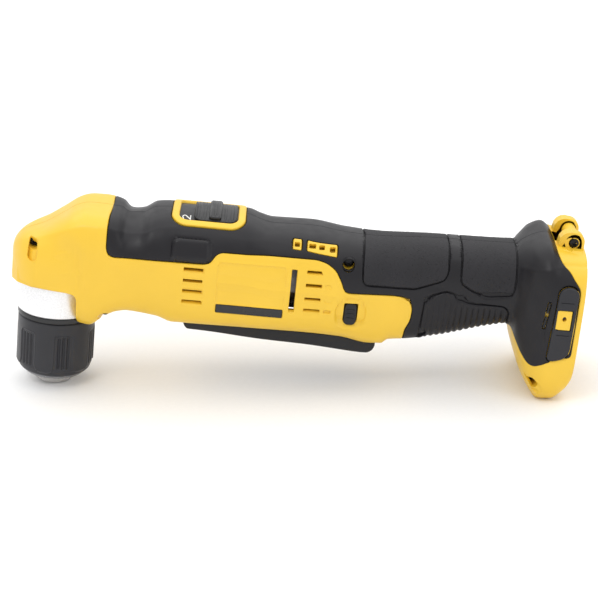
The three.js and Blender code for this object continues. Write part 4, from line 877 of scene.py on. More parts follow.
HEAD_SCREW = (-12, 81.3)
BODY_SCREW = (150.9, 87.5)
GRIP_SCREW = (191.8, 51.6)
FOOT_SCREW = (252.5, 34.6)
CHIN_SCREW = (26.5, 46.2)
EAR_SCREW = (266.4, 107.2)
BUTTON = (154.3, 61.0)
BUTTON_HOLE = (7.6, 13.2)
VENTS = [rectangle(66.6, 77, z - 1, z + 1) for z in (79, 73, 67, 61)]
REAR_VENTS = [
    rectangle(122, 124.8, 60, 83.8),
    [(129.9, 84), (129.9, 82.2), (138, 82.2), (137.2, 84)],
    [(129.8, 76.8), (129.8, 75), (138.2, 75), (138.2, 76.8)],
    [(140.2, 76.8), (140.2, 75), (143.1, 75), (142.4, 76.8)],
    [(129.7, 69.3), (129.7, 67.5), (138.2, 67.5), (138.2, 69.3)],
    [(140.2, 69.3), (140.2, 67.5), (144, 67.5), (143.8, 69.3)],
    [(129.7, 62.6), (129.7, 61), (138.2, 61), (138.2, 62.6)],
    [(140.2, 62.6), (140.2, 61), (143.6, 61), (143.9, 62.6)],
]
HEAD_SLOT = [(-14.3, 83.4), (-9.8, 83.4), (-9.6, 74.2), (-12.6, 73.2), (-14.6, 75)]
TEARDROP = [(248.6, 37.2), (252.8, 37.3), (257.2, 33.6), (257.8, 30.6), (254.6, 29)]
PANEL = rectangle(84, 119.2, 61.6, 84.4)
LABEL = rectangle(84.3, 119.1, 56.1, 61.2)
PADDLE_X = 67.8
PADDLE_END = 170.1
PADDLE_WIDE = 15.0
LAMP = (33.5, 2.6)
PANEL_SKIN = side_hole(PANEL, 2)
LABEL_SKIN = side_hole(LABEL, 0.8)
BUMP_LINE = side_hole(rectangle(59.6, 79.4, 82.9, 94.2), 3.2)


def ridge_height(x):
    """Height of the crease that parts the head's top facet from its side."""
    return np.interp(x, (-24, -19, -8, 4, 13, 27), (78.3, 80.2, 84.9, 91.2, 95.4, 95.6))


def shell_relief(x, y, z, u, s):
    out = np.zeros(len(x))
    front = 1 - soft_step(x - 24.5, 3)
    ridge = ridge_height(x)
    away = z - ridge
    out += front * 1.15 * np.where(away > 0, np.exp(-away / 3.6),
                                   np.exp(away / 5.5)) * soft_step(x + 22, 4)
    scoop = hill(np.hypot((x - 2.5) * 0.8 - (z - 83) * 0.35, (z - 83) * 0.8 + (x - 2.5) * 0.35),
                 6.2)
    out -= 1.7 * scoop * soft_step(ridge - z, 2.5)
    crease = hill(x - (12.6 - (z - 72) * 0.06), 0.9) * soft_step(z - 64, 3) * soft_step(82 - z, 6)
    beyond = soft_step(x - 13, 5) * (1 - soft_step(x - 22, 6))
    beyond = beyond * soft_step(z - 62, 4) * soft_step(86 - z, 6)
    out += 0.5 * beyond - 0.8 * crease
    foot = hill(z - 63.4, 0.8) * soft_step(x - 3, 4) * soft_step(13.5 - x, 1.5)
    out -= 0.35 * foot * (z < 70)
    skirt = hill(x - 11, 2.2) * soft_step(62 - z, 3) * soft_step(z - 54, 3)
    out += 0.2 * skirt
    points = np.stack([u, s], 1)
    panel_gap = loop_distance(points, PANEL_SKIN)
    within = inside(points, PANEL_SKIN)
    out -= 0.45 * np.where(within, soft_step(panel_gap - 0.25, 0.5), 0)
    out += 0.16 * np.where(within, 0, hill(panel_gap, 0.6))
    bx, bz = BUTTON[0] - x, BUTTON[1] - z
    ring = (np.abs(bx / 7.7) ** 2.6 + np.abs(bz / 7.7) ** 2.6) ** (1 / 2.6)
    out -= 1.7 * soft_step(1 - ring, 0.11) + 0.35 * np.clip(1 - ring, 0, 1)
    out += 0.12 * hill((ring - 1.06) * 7.7, 0.8)
    guard = np.hypot((x - 131) / 15, (z - 73) / 15)
    out -= 0.3 * soft_step(1 - guard, 0.05) * (z < 90)
    return out


def base_relief(x, y, z, u, s):
    out = np.zeros(len(x))
    cut = 0.3 * hill(x - (261.5 - (49 - z) * 0.55), 0.28)
    out -= cut * soft_step(49.5 - z, 1) * soft_step(z - 44.5, 1)
    out -= 0.5 * hill(z - 99.8, 0.7) * soft_step(x - 258, 2)
    out += 0.35 * soft_step(z - 99.8, 2.2) * soft_step(106 - z, 3)
    rim = soft_step(x - (REAR_X - 2.2), 1.0)
    return out + 0.12 * rim


def rubber_relief(x, y, z, u, s):
    out = np.zeros(len(x))
    side = np.abs(y)
    neck = hill(x - 38, 6.2)
    out -= 1.3 * neck * soft_step(z - 90, 8) * soft_step(side - 6, 8)
    edge_z = np.interp(x, (NECK_X, 36, 44, 52, 60, 150, 240, 262),
                       (96, 93.2, 93.5, 97, 98, 92.5, 93.5, 99.8))
    away = z - edge_z
    crest = np.where((x < 62) | (x > 240), 1.0, 0.35)
    out += 0.5 * crest * np.where(away > 0, np.exp(-away / 1.6),
                                  np.exp(away / 2.6)) * soft_step(z - 84, 6)
    points = np.stack([u, s], 1)
    gap = loop_distance(points, BUMP_LINE)
    bumpy = inside(points, BUMP_LINE)
    out += 1.7 * np.where(bumpy, soft_step(gap - 0.7, 1.3), 0)
    out -= 0.4 * np.where(bumpy, 0, hill(gap, 0.9)) * (x < 84)
    out -= 0.85 * hill(x - BASE_X + 0.2, 0.55) * soft_step(z - 79, 4)
    flare = hill(np.hypot(x - 247.5, (z - 84) / 1.7), 4.4)
    out -= 0.9 * flare
    out += 0.8 * hill(x - (243 + (z - 60) * 0.1), 3) * soft_step(z - 64, 8) * soft_step(88 - z, 8)
    out -= 0.5 * hill(np.hypot((x - 197) / 2.2, (z - 79) * 1.0), 2.4)
    return out


def grain_relief(x, y, z, u, s):
    return 0.06 * np.sin(x * 2.9 + 1.3 * np.sin(z * 2.3)) * np.sin(z * 2.7 + 1.1 * np.sin(x * 2.1))


def rib_relief(x, y, z, u, s):
    points = np.stack([u, s], 1)
    gap = loop_distance(points, PANEL_3_SKIN)
    rib = 0.5 + 0.5 * np.cos((x - 192.5) * 2 * math.pi / 3.05)
    return (0.7 * rib ** 0.6 - 0.6) * soft_step(gap - 1.2, 1.2)


PANEL_1_SKIN = panel_loop(PANEL_1)
PANEL_2_SKIN = panel_loop(PANEL_2)
PANEL_3_SKIN = panel_loop(PANEL_3)


def core_piece(name, node):
    """What lies under a shell's skin: the CAD shell cut back below it."""
    piece = bpy.data.objects.new(name, frame["nodes"][node].data.copy())
    bpy.context.scene.collection.objects.link(piece)
    piece.data.materials.clear()
    carve(piece, "INTERSECT", [scratch(*loft_solid(-2.0, HEAD_TIP + 2.2, REAR_X - 0.35))])
    piece.data.materials.append(materials["yellow_plastic"])
    for polygon in piece.data.polygons:
        polygon.material_index = 0
    piece.data.shade_flat()
    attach(piece, "housing")
    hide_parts(node)
    return piece


def at_seam(points):
    return (points[:, 1] < 0.6) | (points[:, 1] > LOWEST - 0.6)


def build_housing():
    for _, side in SIDES:
        core_piece("shell_core_" + side, "shell_" + side)
    holes = [side_hole(v, 0.3) for v in VENTS + REAR_VENTS]
    holes.append(side_hole(HEAD_SLOT, 1.4))
    holes.append(round_hole(CHIN_SCREW, 2.7))
    width, height = BUTTON_HOLE
    holes.append(side_hole(rectangle(BUTTON[0] - width / 2, BUTTON[0] + width / 2,
                                     BUTTON[1] - height / 2,
                                     BUTTON[1] + height / 2), 3.4))
    holes.append(side_hole(LABEL, 0.8))
    holes.append(bottom_ring(PADDLE_X - 0.6, PADDLE_END + 0.6, PADDLE_WIDE + 1.8))
    lamp = circle(LAMP[0], 0, LAMP[1], 20)
    holes.append(np.stack([lamp[:, 0], LOWEST + lamp[:, 1]], 1))
    outline = front_outline()
    mesh = skin_mesh([outline, *holes], rim=0.45, plain=at_seam, relief=shell_relief,
                     thickness=2.2,
                     features=[(PANEL_SKIN, (-0.6, -0.3, 0, 0.3, 0.6)),
                               (round_hole(BUTTON, 7.7, 40), (-0.9, -0.5, 0, 0.5, 0.9))])
    both_sides("shell_skin", mesh, "housing", "yellow_plastic")

    foot = side_hole(TEARDROP, 1.2)
    mesh = skin_mesh([base_outline(), foot], rim=0.45, plain=at_seam, relief=base_relief,
                     thickness=2.2, grid=1.0)
    left, right = both_sides("base_skin", mesh, "housing", "yellow_plastic")
    for piece in (left, right):
        cuts = (box_solid(257.1, 266.4, -21, 21, 0, 60),
                box_solid(266.3, REAR_X + 5, -18, 18, 0, 60),
                box_solid(257.3, REAR_X + 5, -7.6, 7.6, 100.4, 120))
        carve(piece, "DIFFERENCE", [scratch(*cut) for cut in cuts])
        finish_mesh(piece.data, 35)


def build_overmould():
    holes = [grown_loop(loop, GROOVE / 2) for loop in (PANEL_1_SKIN, PANEL_2_SKIN, PANEL_3_SKIN)]
    holes.append(plan_ring(BEZEL_HALF_LENGTH + 0.25, BEZEL_HALF_WIDTH + 0.25, 8))
    holes += [grown_loop(window_loop(k), 0.15) for k in range(2)]
    holes.append(round_hole(BODY_SCREW, 3.3))
    holes.append(grown_loop(pad_loop(), 0.1))
    holes.append(side_hole(BASE_SLOT, 0.8))
    mesh = skin_mesh([overmould_outline(), *holes], rim=0.55, plain=at_seam, relief=rubber_relief,
                     thickness=1.7,
                     grid=1.1)
    both_sides("overmould_skin", mesh, "housing", "grip_rubber", "overmould")
    for name, loop, relief, material, grid in (
            ("grip_panel_front", PANEL_1_SKIN, grain_relief, "grip_grain", 0.9),
            ("grip_panel_rear", PANEL_2_SKIN, grain_relief, "grip_grain", 0.9),
            ("grip_ribs", PANEL_3_SKIN, rib_relief, "grip_rubber", 0.6)):
        outer = clipped(grown_loop(loop, -GROOVE / 2))
        under = skin_mesh([clipped(grown_loop(loop, 0.8))], rim=0.2, lift=-1.15, thickness=0.75,
                          grid=1.6)
        both_sides(name + "_under", under, "housing", "grip_rubber")
        cuts = [round_hole(GRIP_SCREW, 3.3)] if name == "grip_ribs" else []
        mesh = skin_mesh([outer, *cuts], rim=0.5, plain=at_seam, relief=relief, thickness=1.6,
                         grid=grid)
        both_sides(name, mesh, "housing", material)


def clipped(loop):
    """The loop with what lies past the seams moved back to them."""
    low = seam_top(x_of(loop[:, 0]))
    high = seam_low(x_of(loop[:, 0]))
    loop = np.stack([loop[:, 0], np.clip(loop[:, 1], low, high)], 1)
    keep = np.linalg.norm(loop - np.roll(loop, 1, 0), axis=1) > 0.02
    return dense(loop[keep], 0.8)


WINDOWS = [[(121.3, 93), (121.3, 96.8), (125.9, 96.8), (125.9, 92.8)],
           [(128.7, 92.8), (128.7, 96.7), (144.5, 95.3), (144.5, 90.7)]]
BASE_SLOT = [(254, 81.7), (255.8, 81.7), (254.5, 66.2), (252.7, 66.2)]


def window_loop(index):
    return side_hole(WINDOWS[index], 0.7)


def pad_loop():
    return side_hole([(258.8, 88.3), (261.9, 90.8), (266.2, 90.9), (269.4, 88.2), (268.8, 54.9),
                      (266.3, 51),
                      (260, 49), (257, 50.2)], 2.4)


def build_windows():
    cuts = ([rectangle(122.3, 124.8, 94.1, 95.7)],
            [rectangle(129.8, 133.2, 94, 95.6), rectangle(135, 137.8, 93.6, 95.2),
             rectangle(140.6, 143.4, 92.7, 94.6)])
    for index, holes in enumerate(cuts):
        loops = [grown_loop(window_loop(index), -0.1), *[side_hole(h, 0.3) for h in holes]]
        mesh = skin_mesh(loops, rim=0.35, lift=0.05, thickness=2.0, grid=0.8)
        both_sides(f"window_{index + 1}", mesh, "housing", "yellow_plastic")


# Painted shade: two black sheets sunk in the base slot's openings stand for the shade inside them.
SLOT_SHADES = [[(254.4, 81.3), (255.6, 81.3), (255.1, 75.4), (253.9, 75.4)],
               [(253.7, 73.2), (254.9, 73.2), (254.3, 66.6), (253.1, 66.6)]]


def build_slot_shades():
    for index, shade in enumerate(SLOT_SHADES):
        mesh = skin_mesh([side_hole(shade, 0.3)], rim=0.1, lift=-1.3, thickness=0.6, grid=0.8)
        # Painted shade: each black sheet stands for the shade in one of the slot's openings.
        both_sides(f"base_slot_{index + 1}", mesh, "housing", "black_plastic")


def build_labels():
    mesh = skin_mesh([grown_loop(LABEL_SKIN, -0.12)], rim=0.25, lift=-0.15, thickness=1.0,
                     grid=1.0)
    both_sides("label_plate", mesh, "housing", "label_black", "label_strip")


build_housing()
build_overmould()
build_windows()
build_labels()
build_slot_shades()


# ---- Chuck ----

SLEEVE_RADIUS = 20.4
SLEEVE_LOW = 6.6
SLEEVE_PITCH = math.radians(60)
SLEEVE_TURN = math.radians(19)     # of the first group of grooves, from straight ahead
GROUP_HALF = 5.1                   # half a group's width on the sleeve
GROUP_TOP = 31.6
TONGUE_LOW = 9.6


def past_corner(dx, dz, radius):
    """How far a point is outside a rounded corner, from where it lies past the arc's centre."""
    beyond = np.hypot(np.maximum(dx, 0), np.maximum(dz, 0))
    return beyond + np.minimum(np.maximum(dx, dz), 0) - radius


def sleeve_depth(angle, z):
    """How far the sleeve's surface lies below its widest, for heights z at one angle."""
    turn = (angle - SLEEVE_TURN + SLEEVE_PITCH / 2) % SLEEVE_PITCH - SLEEVE_PITCH / 2
    across = abs(turn) * SLEEVE_RADIUS
    half = SLEEVE_PITCH / 2 * SLEEVE_RADIUS
    # The group's sunk panel lies inside GROUP_HALF and GROUP_TOP, and below the tongues' ends.
    corner = 2.0
    dx, dz = across - (GROUP_HALF - corner), z - (GROUP_TOP - corner)
    panel = past_corner(dx, dz, corner)
    end = 4.6
    mid = half - across
    tx, tz = mid - (half - GROUP_HALF - end), (TONGUE_LOW + end) - z
    tongue = past_corner(tx, tz, end)
    sunk = np.where(z > TONGUE_LOW + end, panel, np.minimum(-tongue, 6.0))
    depth = 0.55 * soft_step(-sunk, 0.45) - 0.16 * hill(sunk - 0.35, 0.3)
    for place in (-2.6, 0.0, 2.6):
        gx = abs(turn * SLEEVE_RADIUS - place)
        gz = np.maximum(np.maximum(12.6 - z, z - 29.6), 0)
        depth = depth + 0.85 * (1 - soft_step(np.hypot(gx, gz) - 0.62, 0.5))
    fade = soft_step(z - (SLEEVE_LOW + 1.2), 1.5) * (1 - soft_step(z - 35.5, 1.5))
    return depth * fade


def build_sleeve():
    heights = np.linspace(10.6, 36.8, 96)
    low_curve = [(SLEEVE_RADIUS - 3.9 + 3.6 * math.sin(a), 10.4 - 3.6 * math.cos(a))
                 for a in np.linspace(0.15, 1.5, 12)]
    side = [(SLEEVE_RADIUS, z) for z in heights]
    top_curve = [(SLEEVE_RADIUS - 1 + math.cos(a), 37 + math.sin(a))
                 for a in np.linspace(0.2, 1.5, 6)]
    inner = [(17.6, 38.0), (17.6, 8.2), (SLEEVE_RADIUS - 4.0, 7.0)]
    profile = low_curve + side + top_curve + inner
    outer_count = len(low_curve) + len(side) + len(top_curve)

    def radius_at(angle, points):
        radius = points[:, 0].copy()
        radius[:outer_count] -= sleeve_depth(angle, points[:outer_count, 1])
        return radius

    mesh = turned(profile, 540, radius_at)
    new_piece("chuck_sleeve_skin", *mesh, "sleeve", "sleeve_plastic", 40,
              ["chuck_sleeve"])
    # Gloss black ring on the sleeve's top, filling the gap under the collar: partly the ring's own
    # black, partly painted shade of that gap.
    ring = [(17.8, 38.15), (20.3, 38.15), (20.8, 38.6), (20.95, 40.6), (20.7, 41.3), (17.8, 41.3)]
    new_piece("chuck_sleeve_ring_and_gap_shade", *turned(ring, 160), "sleeve", "gloss_black", 40)
    ring = [(17.3, 8.2), (16.9, 6.2), (16.3, 5.4), (15.2, 4.9), (14.4, 5.0), (14.3, 6.4),
            (15.2, 6.9), (16.5, 7.3),
            (16.9, 8.2)]
    new_piece("chuck_rim", *turned(ring, 160), "spindle_assembly", "rim_grey", 30)


# The jaws' tracks are bores that meet at the apex, below the nose.
JAW_LEAN = math.radians(20)
JAW_APEX = -8.0
JAW_TRACK = 3.35
JAW_TRACK_END = 50.0


def build_chuck_body():
    profile = [(5.3, 1.0), (6.1, 0.12), (9.0, 0.0), (9.9, 0.25), (10.5, 0.9), (12.6, 4.3),
               (13.1, 4.75), (14.1, 4.9),
               (14.2, 7.0), (17.0, 8.0), (17.2, 8.6), (17.2, 37.0), (16.8, 37.4), (5.06, 37.4),
               (5.06, 29.2), (5.3, 27)]
    piece = new_piece("chuck_nose", *turned(profile, 160), "spindle_assembly", "bright_steel", 30,
                      ["chuck_body"])
    tracks = []
    for node in ("jaw_1", "jaw_2", "jaw_3"):
        x, y = beside_axis(node)
        lean = math.tan(JAW_LEAN) * (JAW_TRACK_END - JAW_APEX) / math.hypot(x, y)
        tracks.append(scratch(*rod_solid((0, 0, JAW_APEX), (x * lean, y * lean, JAW_TRACK_END),
                                         JAW_TRACK, 48)))
    carve(piece, "DIFFERENCE", tracks)
    finish_mesh(piece.data, 30)


def beside_axis(node):
    """Where a node's middle lies beside the chuck axis."""
    thing = frame["nodes"][node]
    middle = thing.matrix_world @ Vector(np.mean([tuple(corner) for corner in thing.bound_box], 0))
    away = np.array(middle) - ORIGIN
    return float(away @ BACK), float(away @ ACROSS)


def build_collar():
    profile = [(6.2, 43.0), (19.7, 41.6), (20.9, 41.55), (21.35, 42.0), (21.5, 42.8),
               (21.5, 57.2), (21.3, 57.9),
               (20.8, 58.3), (16.9, 58.4), (16.9, 53.4), (11.3, 53.4), (11.3, 45.7), (6.2, 45.7)]
    new_piece("collar_ring", *turned(profile, 192), "housing", "bare_aluminium", 30,
              ["chuck_collar"])


# ---- Gear selector ----

KNOB_X = 80.2


def plan_slab(loop, inner=(), lift=0.0, thickness=1.6, rim=0.5, relief=None, grid=0.8):
    return skin_mesh([loop, *inner], rim=rim, lift=lift, thickness=thickness, relief=relief,
                     grid=grid)


def build_selector():
    outer = plan_ring(BEZEL_HALF_LENGTH, BEZEL_HALF_WIDTH, 8)
    window = plan_ring(BEZEL_HALF_LENGTH - BEZEL_FRAME, BEZEL_HALF_WIDTH - BEZEL_FRAME, 4.6)
    mesh = plan_slab(outer, [window], lift=PROUD, thickness=2.6, rim=0.9, grid=0.7)
    new_piece("selector_frame", *mesh, "housing", "yellow_plastic", 40,
              ["selector_bezel"])
    floor = plan_ring(BEZEL_HALF_LENGTH - BEZEL_FRAME + 0.9, BEZEL_HALF_WIDTH - BEZEL_FRAME + 0.9,
                      5)
    mesh = plan_slab(floor, lift=-0.75, thickness=0.8, rim=0.2, grid=1.2)
    new_piece("selector_floor", *mesh, "housing", "black_plastic", 40)
    front, rear, wide = 69.4, 91.6, BEZEL_HALF_WIDTH - BEZEL_FRAME - 0.4
    plate = plan_ring((rear - front) / 2, wide, 4.2, (front + rear) / 2)

    def ribs(x, y, z, u, s):
        drum = soft_step(np.abs(x - KNOB_X) - 4.3, 0.8)
        ribbed = 0.5 + 0.5 * np.cos((x - KNOB_X) * 2 * math.pi / 1.75)
        across = soft_step(wide - 1.6 - np.abs(y), 1.2)
        return 0.5 * (ribbed ** 0.7 - 0.4) * drum * across * soft_step(rear - 0.7 - x, 0.8)

    mesh = plan_slab(plate, lift=0.55, thickness=1.0, rim=0.4, relief=ribs, grid=0.4)
    new_piece("selector_plate", *mesh, "selector", "black_plastic", 40,
              ["selector_slider"])
    knob = plan_ring(3.2, wide - 1.2, 1.6, KNOB_X)

    def grip(x, y, z, u, s):
        ridges = 0.28 * np.cos((x - KNOB_X) * 2 * math.pi / 1.9)
        return ridges * soft_step(wide - 2.6 - np.abs(y), 1)

    mesh = plan_slab(knob, lift=2.0, thickness=1.9, rim=0.8, relief=grip, grid=0.4)
    new_piece("selector_knob", *mesh, "selector", "black_plastic", 40)
    build_numeral()


NUMERAL_STROKE = 0.62
NUMERAL_PLACE = (65.5, -10.8)
NUMERAL_SCALE = (0.85, 1.35)   # along the drill and across it


def stroke(path, width):
    """A line of constant width along an open path, mitred at its corners."""
    path = np.array(path, float)
    legs = np.diff(path, axis=0)
    legs /= np.linalg.norm(legs, axis=1, keepdims=True)
    normals = np.stack([-legs[:, 1], legs[:, 0]], 1)
    at = np.concatenate([normals[:1], normals[:-1] + normals[1:], normals[-1:]])
    at /= np.linalg.norm(at, axis=1, keepdims=True)
    ahead = np.concatenate([normals[:1], normals[1:], normals[-1:]])
    reach = 1 / np.maximum(np.sum(at * ahead, axis=1, keepdims=True), 0.42)
    side = at * reach * width / 2
    return np.concatenate([path + side, (path - side)[::-1]])


def build_numeral():
    """The engaged gear's 2, lying on the selector's floor and read from the front end."""
    bowl = [(1.3 * math.cos(a), 1.15 + 1.25 * math.sin(a)) for a in np.linspace(2.8, -0.55, 14)]
    outline = stroke(bowl + [(-1.35, -2.3), (1.6, -2.3)], NUMERAL_STROKE)
    along, across = NUMERAL_PLACE
    plan = np.stack([along - outline[:, 1] * NUMERAL_SCALE[0],
                     across + outline[:, 0] * NUMERAL_SCALE[1]], 1)
    loop = np.stack([u_of(plan[:, 0]), s_of_width(plan[:, 0], plan[:, 1])], 1)
    mesh = skin_mesh([grown_loop(dense(loop, 0.3), 0)], rim=0.04, lift=-0.6, thickness=0.3,
                     grid=0.6)
    new_piece("selector_numeral", *mesh, "housing", "white_print", 40)


# ---- Controls ----

def end_round(share, part=1.0):
    return math.sqrt(max(0.0, 1 - share ** 2 * part))


def build_paddle():
    """A shallow boat: flat top against the body, round underside, blunt rounded ends."""
    xs = np.concatenate([PADDLE_X + 3 * (1 - np.cos(np.linspace(0, math.pi / 2, 8))),
                         np.linspace(PADDLE_X + 5, PADDLE_END - 6, 40),
                         PADDLE_END - 5 + 5 * np.sin(np.linspace(0.1, math.pi / 2, 9))])
    around = 48
    verts = []
    for x in xs:
        share = (x - PADDLE_X) / (PADDLE_END - PADDLE_X)
        floor = 39.6 - 5.0 * min(1, share * 1.1) + 0.25 * math.sin(share * 12)
        tip = max(0.0, 1 - (x - PADDLE_X) / 3.2)
        tail = max(0.0, 1 - (PADDLE_END - x) / 5)
        wide = PADDLE_WIDE * end_round(tip, 0.35) * end_round(tail, 0.35)
        low = floor + 3.2 * (1 - end_round(tip)) + 3.6 * (1 - end_round(tail))
        top = 45.2
        for k in range(around):
            angle = 2 * math.pi * k / around
            c, s = math.cos(angle), math.sin(angle)
            power = 2 / (5.5 if s < 0 else 9)
            y = math.copysign(abs(c) ** power, c) * wide
            z = (top + low) / 2 + math.copysign(abs(s) ** power, s) * (top - low) / 2
            verts.append((x, y, z))
    new_piece("paddle_shell", verts, tube_faces(len(xs), around), "paddle_lever",
              "paddle_plastic", 40, ["paddle"])


def build_button():
    x, z = BUTTON
    for side, name in SIDES:
        outline = rounded(rectangle(x - 3.4, x + 3.4, z - 6.2, z + 6.2), 3.2, 8)
        inner, outer = (12.0, 25.4)
        ys = (-outer, -inner) if side < 0 else (inner, outer)
        mesh = rounded_slab(outline, *ys, rim=0.9)
        new_piece("direction_key_" + name, *mesh, "button", "black_plastic", 40,
                  ["direction_button"] if side < 0 else [])
        for step in (-1, 0, 1):
            outline = rounded(rectangle(x - 2.2, x + 2.2, z + 2.4 * step - 0.55,
                                        z + 2.4 * step + 0.55), 0.5)
            ys = (-outer - 0.45, -outer + 0.6) if side < 0 else (outer - 0.6, outer + 0.45)
            mesh = rounded_slab(outline, *ys, rim=0.35)
            new_piece(f"direction_key_{name}_ridge_{step + 2}", *mesh, "button", "black_plastic",
                      40)
    mesh = rounded_slab(rounded(rectangle(x - 3, x + 3, z - 5.8, z + 5.8), 2.8, 6), -12.4, 12.4,
                        rim=0.4)
    new_piece("direction_key_bar", *mesh, "button", "black_plastic", 40)


# ---- Battery base ----

PAD_OUT = 37.5
HOOK_BOSS = (263.5, 73.7)


def build_pads():
    outline = [(258.9, 88.0), (261.9, 90.5), (266.2, 90.6), (269.2, 88.0), (268.6, 55.0),
               (266.2, 51.2), (260, 49.2),
               (257.2, 50.4)]
    outline = rounded(outline, 2.4, 6)
    for side, name in SIDES:
        ys = (-PAD_OUT, -34.8) if side < 0 else (34.8, PAD_OUT)
        mesh = rounded_slab(outline, *ys, rim=1.0, steps=5)
        piece = new_piece("pad_" + name, *mesh, "housing", "pad_rubber", 40, ["side_pad_" + name])
        cuts = [box_solid(259.7, 267.2, *sorted((side * 30, side * 45)), 67.3, 78.5)]
        for height in (82.6, 64.6):
            cuts.append(box_solid(260.2, 267.0, *sorted((side * (PAD_OUT - 0.35), side * 45)),
                                  height - 0.22,
                                  height + 0.22))
        carve(piece, "DIFFERENCE", [scratch(*cut) for cut in cuts])
        finish_mesh(piece.data, 40)
        mesh = rounded_slab(rounded(rectangle(260.1, 266.8, 67.6, 78.2), 0.6),
                            *sorted((side * 33.5, side * PAD_OUT)), rim=0.35)
        boss = new_piece("hook_boss_" + name, *mesh, "housing", "yellow_plastic", 40)
        hole = cross_rod(HOOK_BOSS, side * 33, side * 45, 1.4)
        carve(boss, "DIFFERENCE", [scratch(*hole)])
        finish_mesh(boss.data, 40)
        well = cross_rod(HOOK_BOSS, side * 33.4, side * 34.6, 1.9)
        new_piece("hook_thread_" + name, *well, "housing", "dark_steel", 40)


def rod_solid(start, end, radius, sides=32):
    start, end = Vector(start), Vector(end)
    turn = (end - start).to_track_quat("Z", "Y")
    verts = []
    for place in (start, end):
        for k in range(sides):
            angle = 2 * math.pi * k / sides
            verts.append(place + turn @ Vector((radius * math.cos(angle),
                                                radius * math.sin(angle), 0)))
    return np.array([tuple(v) for v in verts]), tube_faces(2, sides)


def cross_rod(place, y0, y1, radius, sides=32):
    x, z = place
    return rod_solid((x, y0, z), (x, y1, z), radius, sides)


EAR_RADIUS = 5.7


def build_ears():
    tall = arc(*EAR_SCREW, EAR_RADIUS, 175, -10, 18) + [(REAR_X - 0.2, 101), (REAR_X - 0.3, 98),
                                                        (256.5, 98), (257.2, 101.5)]
    for side, name in SIDES:
        ys = sorted((side * 7.6, side * 14.0))
        mesh = rounded_slab(dense(tall, 1.0), *ys, rim=1.1, steps=5)
        ear = new_piece("ear_" + name, *mesh, "housing", "yellow_plastic", 40)
        cuts = [scratch(*cross_rod(EAR_SCREW, side * 5, side * 20, 1.75))]
        if side < 0:
            cuts.append(scratch(*cross_rod(EAR_SCREW, -12.4, -20, 2.85)))
        carve(ear, "DIFFERENCE", cuts)
        finish_mesh(ear.data, 40)
    bar = cross_rod(EAR_SCREW, -7.5, 7.5, 3.6, 48)
    new_piece("ear_bar", *bar, "housing", "yellow_plastic", 40, ["hang_bar"])


def spun(place, profile, spans, sides=48):
    """(radius, y) points turned about the cross axis through place; spans is how many legs."""
    x, z = place
    angles = [2 * math.pi * k / sides for k in range(sides)]
    verts = [(x + r * math.cos(a), y, z + r * math.sin(a)) for a in angles for r, y in profile]
    count = len(profile)
    faces = [(k * count + i, k * count + (i + 1) % count,
              (k + 1) % sides * count + (i + 1) % count,
              (k + 1) % sides * count + i) for k in range(sides) for i in range(spans)]
    return np.array(verts), faces


def build_screw(name, place, seat, node):
    """A black Torx pan head on a plain shank, entering from the left."""
    x, z = place
    radius, height = 2.7, 2.3
    profile = [(0, -seat - height), (1.5, -seat - height), (2.3, -seat - height + 0.3),
               (radius, -seat - height + 1.1),
               (radius, -seat), (1.5, -seat + 0.02), (1.5, 6.5), (0, 7)]
    piece = new_piece(name, *welded(*spun(place, profile, len(profile) - 1)), "housing",
                      "black_screw", 40, [node])
    star = []
    for k in range(36):
        angle = 2 * math.pi * k / 36
        reach = 1.22 + 0.22 * math.cos(6 * angle)
        star.append((x + reach * math.cos(angle), z + reach * math.sin(angle)))
    cut = scratch(*rounded_slab(star, -seat - height - 2, -seat - height + 1.3, rim=0.01, steps=1))
    carve(piece, "DIFFERENCE", [cut])
    finish_mesh(piece.data, 40)


def skin_width(x, z):
    """How far the housing's skin is from the middle plane at (x, z)."""
    at = np.array([float(x)])
    return abs(float(skin_point(u_of(at), s_of_height(at, np.array([float(z)])), 0)[0, 1]))


def build_cup(name, place, seat, drop=0.0, radius=3.05):
    """The sleeve round a sunk screw, from just under the skin to the screw's seat."""
    x, z = place
    mouth = skin_width(x, z - drop) - 0.45
    profile = [(radius, seat - 0.3), (radius, mouth - 0.25), (radius + 0.25, mouth),
               (radius + 0.7, mouth),
               (radius + 0.7, seat - 1), (0.9, seat - 1), (0.9, seat - 0.3)]
    mesh = spun(place, [(r, -y) for r, y in profile], len(profile))
    new_piece(name, *mesh, "housing", "grip_rubber", 40)


def welded(verts, faces):
    """Merges the corners that share a place."""
    index, kept, remap = {}, [], []
    for vert in verts:
        key = tuple(round(float(c), 5) for c in vert)
        if key not in index:
            index[key] = len(kept)
            kept.append(vert)
        remap.append(index[key])
    clean = []
    for face in faces:
        corners = []
        for i in face:
            if not corners or corners[-1] != remap[i]:
                corners.append(remap[i])
        if corners[0] == corners[-1]:
            corners.pop()
        if len(corners) > 2:
            clean.append(tuple(corners))
    return np.array(kept, float), clean


SCREWS = {"head": (HEAD_SCREW, 11), "chin": (CHIN_SCREW, 12), "body": (BODY_SCREW, 17.5),
          "grip": (GRIP_SCREW, 8.6),
          "foot": (FOOT_SCREW, 21.5), "ear": (EAR_SCREW, 12.3)}


build_sleeve()
build_chuck_body()
build_collar()
build_selector()
build_paddle()
build_button()
build_pads()
build_ears()
build_cup("body_screw_cup", *SCREWS["body"])
build_cup("grip_screw_cup", *SCREWS["grip"], drop=3)
for screw, (place, seat) in SCREWS.items():
    build_screw(screw + "_torx", place, seat, screw + "_screw")


# ---- Frame materials for the CAD nodes that stay ----

for part in frame["record"]["subparts"]:
    thing = frame["nodes"][part["node"]]
    thing.data.materials.clear()
    thing.data.materials.append(materials[part["material_slot"]])
    thing.data.shade_smooth()
    thing.data.set_sharp_from_angle(angle=math.radians(32))


# ---- Stage, lights and camera ----

WORLD_STRENGTH = 0.9
FLOOR_HALF = 6
CAMERA_DISTANCE = 0.95
CAMERA_RISE = math.radians(22)

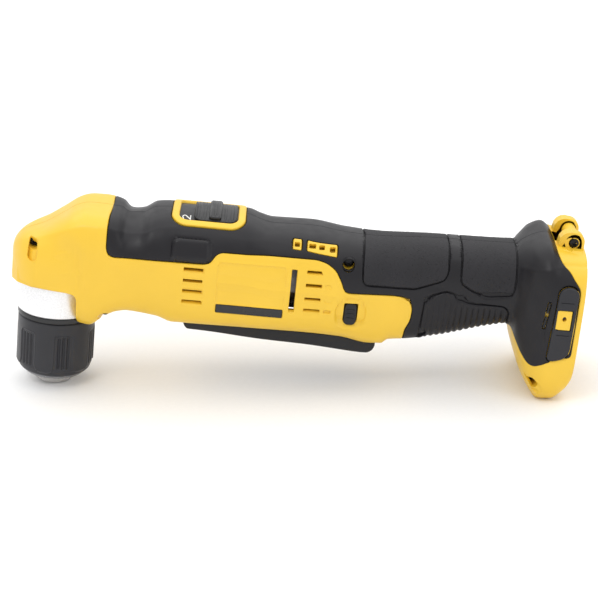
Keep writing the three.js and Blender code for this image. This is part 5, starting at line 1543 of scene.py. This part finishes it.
def area_light(name, place, aim, size, power, shade=(1, 1, 1)):
    light = bpy.data.lights.new(name, "AREA")
    light.shape = "RECTANGLE"
    light.size, light.size_y = size
    light.energy = power
    light.color = shade
    thing = bpy.data.objects.new(name, light)
    thing.location = place
    thing.rotation_euler = (Vector(aim) - Vector(place)).to_track_quat("-Z", "Y").to_euler()
    bpy.context.scene.collection.objects.link(thing)


def build_stage():
    bpy.context.scene.view_settings.view_transform = "Standard"
    floor_material, tree, shader = principled("floor", (0.9, 0.9, 0.9), 0.7)
    grain = noise(tree, 400, 3)
    tint(tree, shader, ramp(tree, grain.outputs["Fac"], 0, 1), (0.89, 0.89, 0.89),
         (0.91, 0.91, 0.91))
    mesh = bpy.data.meshes.new("floor")
    mesh.from_pydata([(x * FLOOR_HALF, y * FLOOR_HALF, 0)
                      for x, y in ((-1, -1), (1, -1), (1, 1), (-1, 1))], [], [(0, 1, 2, 3)])
    mesh.materials.append(floor_material)
    floor = bpy.data.objects.new("floor", mesh)
    bpy.context.scene.collection.objects.link(floor)
    world = bpy.data.worlds.new("studio")
    world.use_nodes = True
    world.node_tree.nodes["Background"].inputs["Color"].default_value = (1, 1, 1, 1)
    world.node_tree.nodes["Background"].inputs["Strength"].default_value = WORLD_STRENGTH
    bpy.context.scene.world = world
    target = (0, 0, 0.05)
    area_light("key", (-0.35, -0.5, 0.75), target, (0.3, 0.2), 1.1)
    area_light("top", (0.1, 0.5, 1.5), (0.1, 0.4, 0), (3, 3), 24)
    area_light("side", (0.7, -0.45, 0.3), target, (0.2, 0.4), 0.5)


def build_camera():
    aim = Vector((0.002594, 0.0, 0.0447))
    camera = bpy.data.cameras.new("camera")
    camera.lens = 106.92
    camera.sensor_width = 36
    thing = bpy.data.objects.new("camera", camera)
    thing.location = aim + CAMERA_DISTANCE * Vector((0, -math.cos(CAMERA_RISE),
                                                     math.sin(CAMERA_RISE)))
    thing.rotation_euler = (math.pi / 2 - CAMERA_RISE, 0, 0)
    bpy.context.scene.collection.objects.link(thing)
    bpy.context.scene.camera = thing


build_stage()
build_camera()
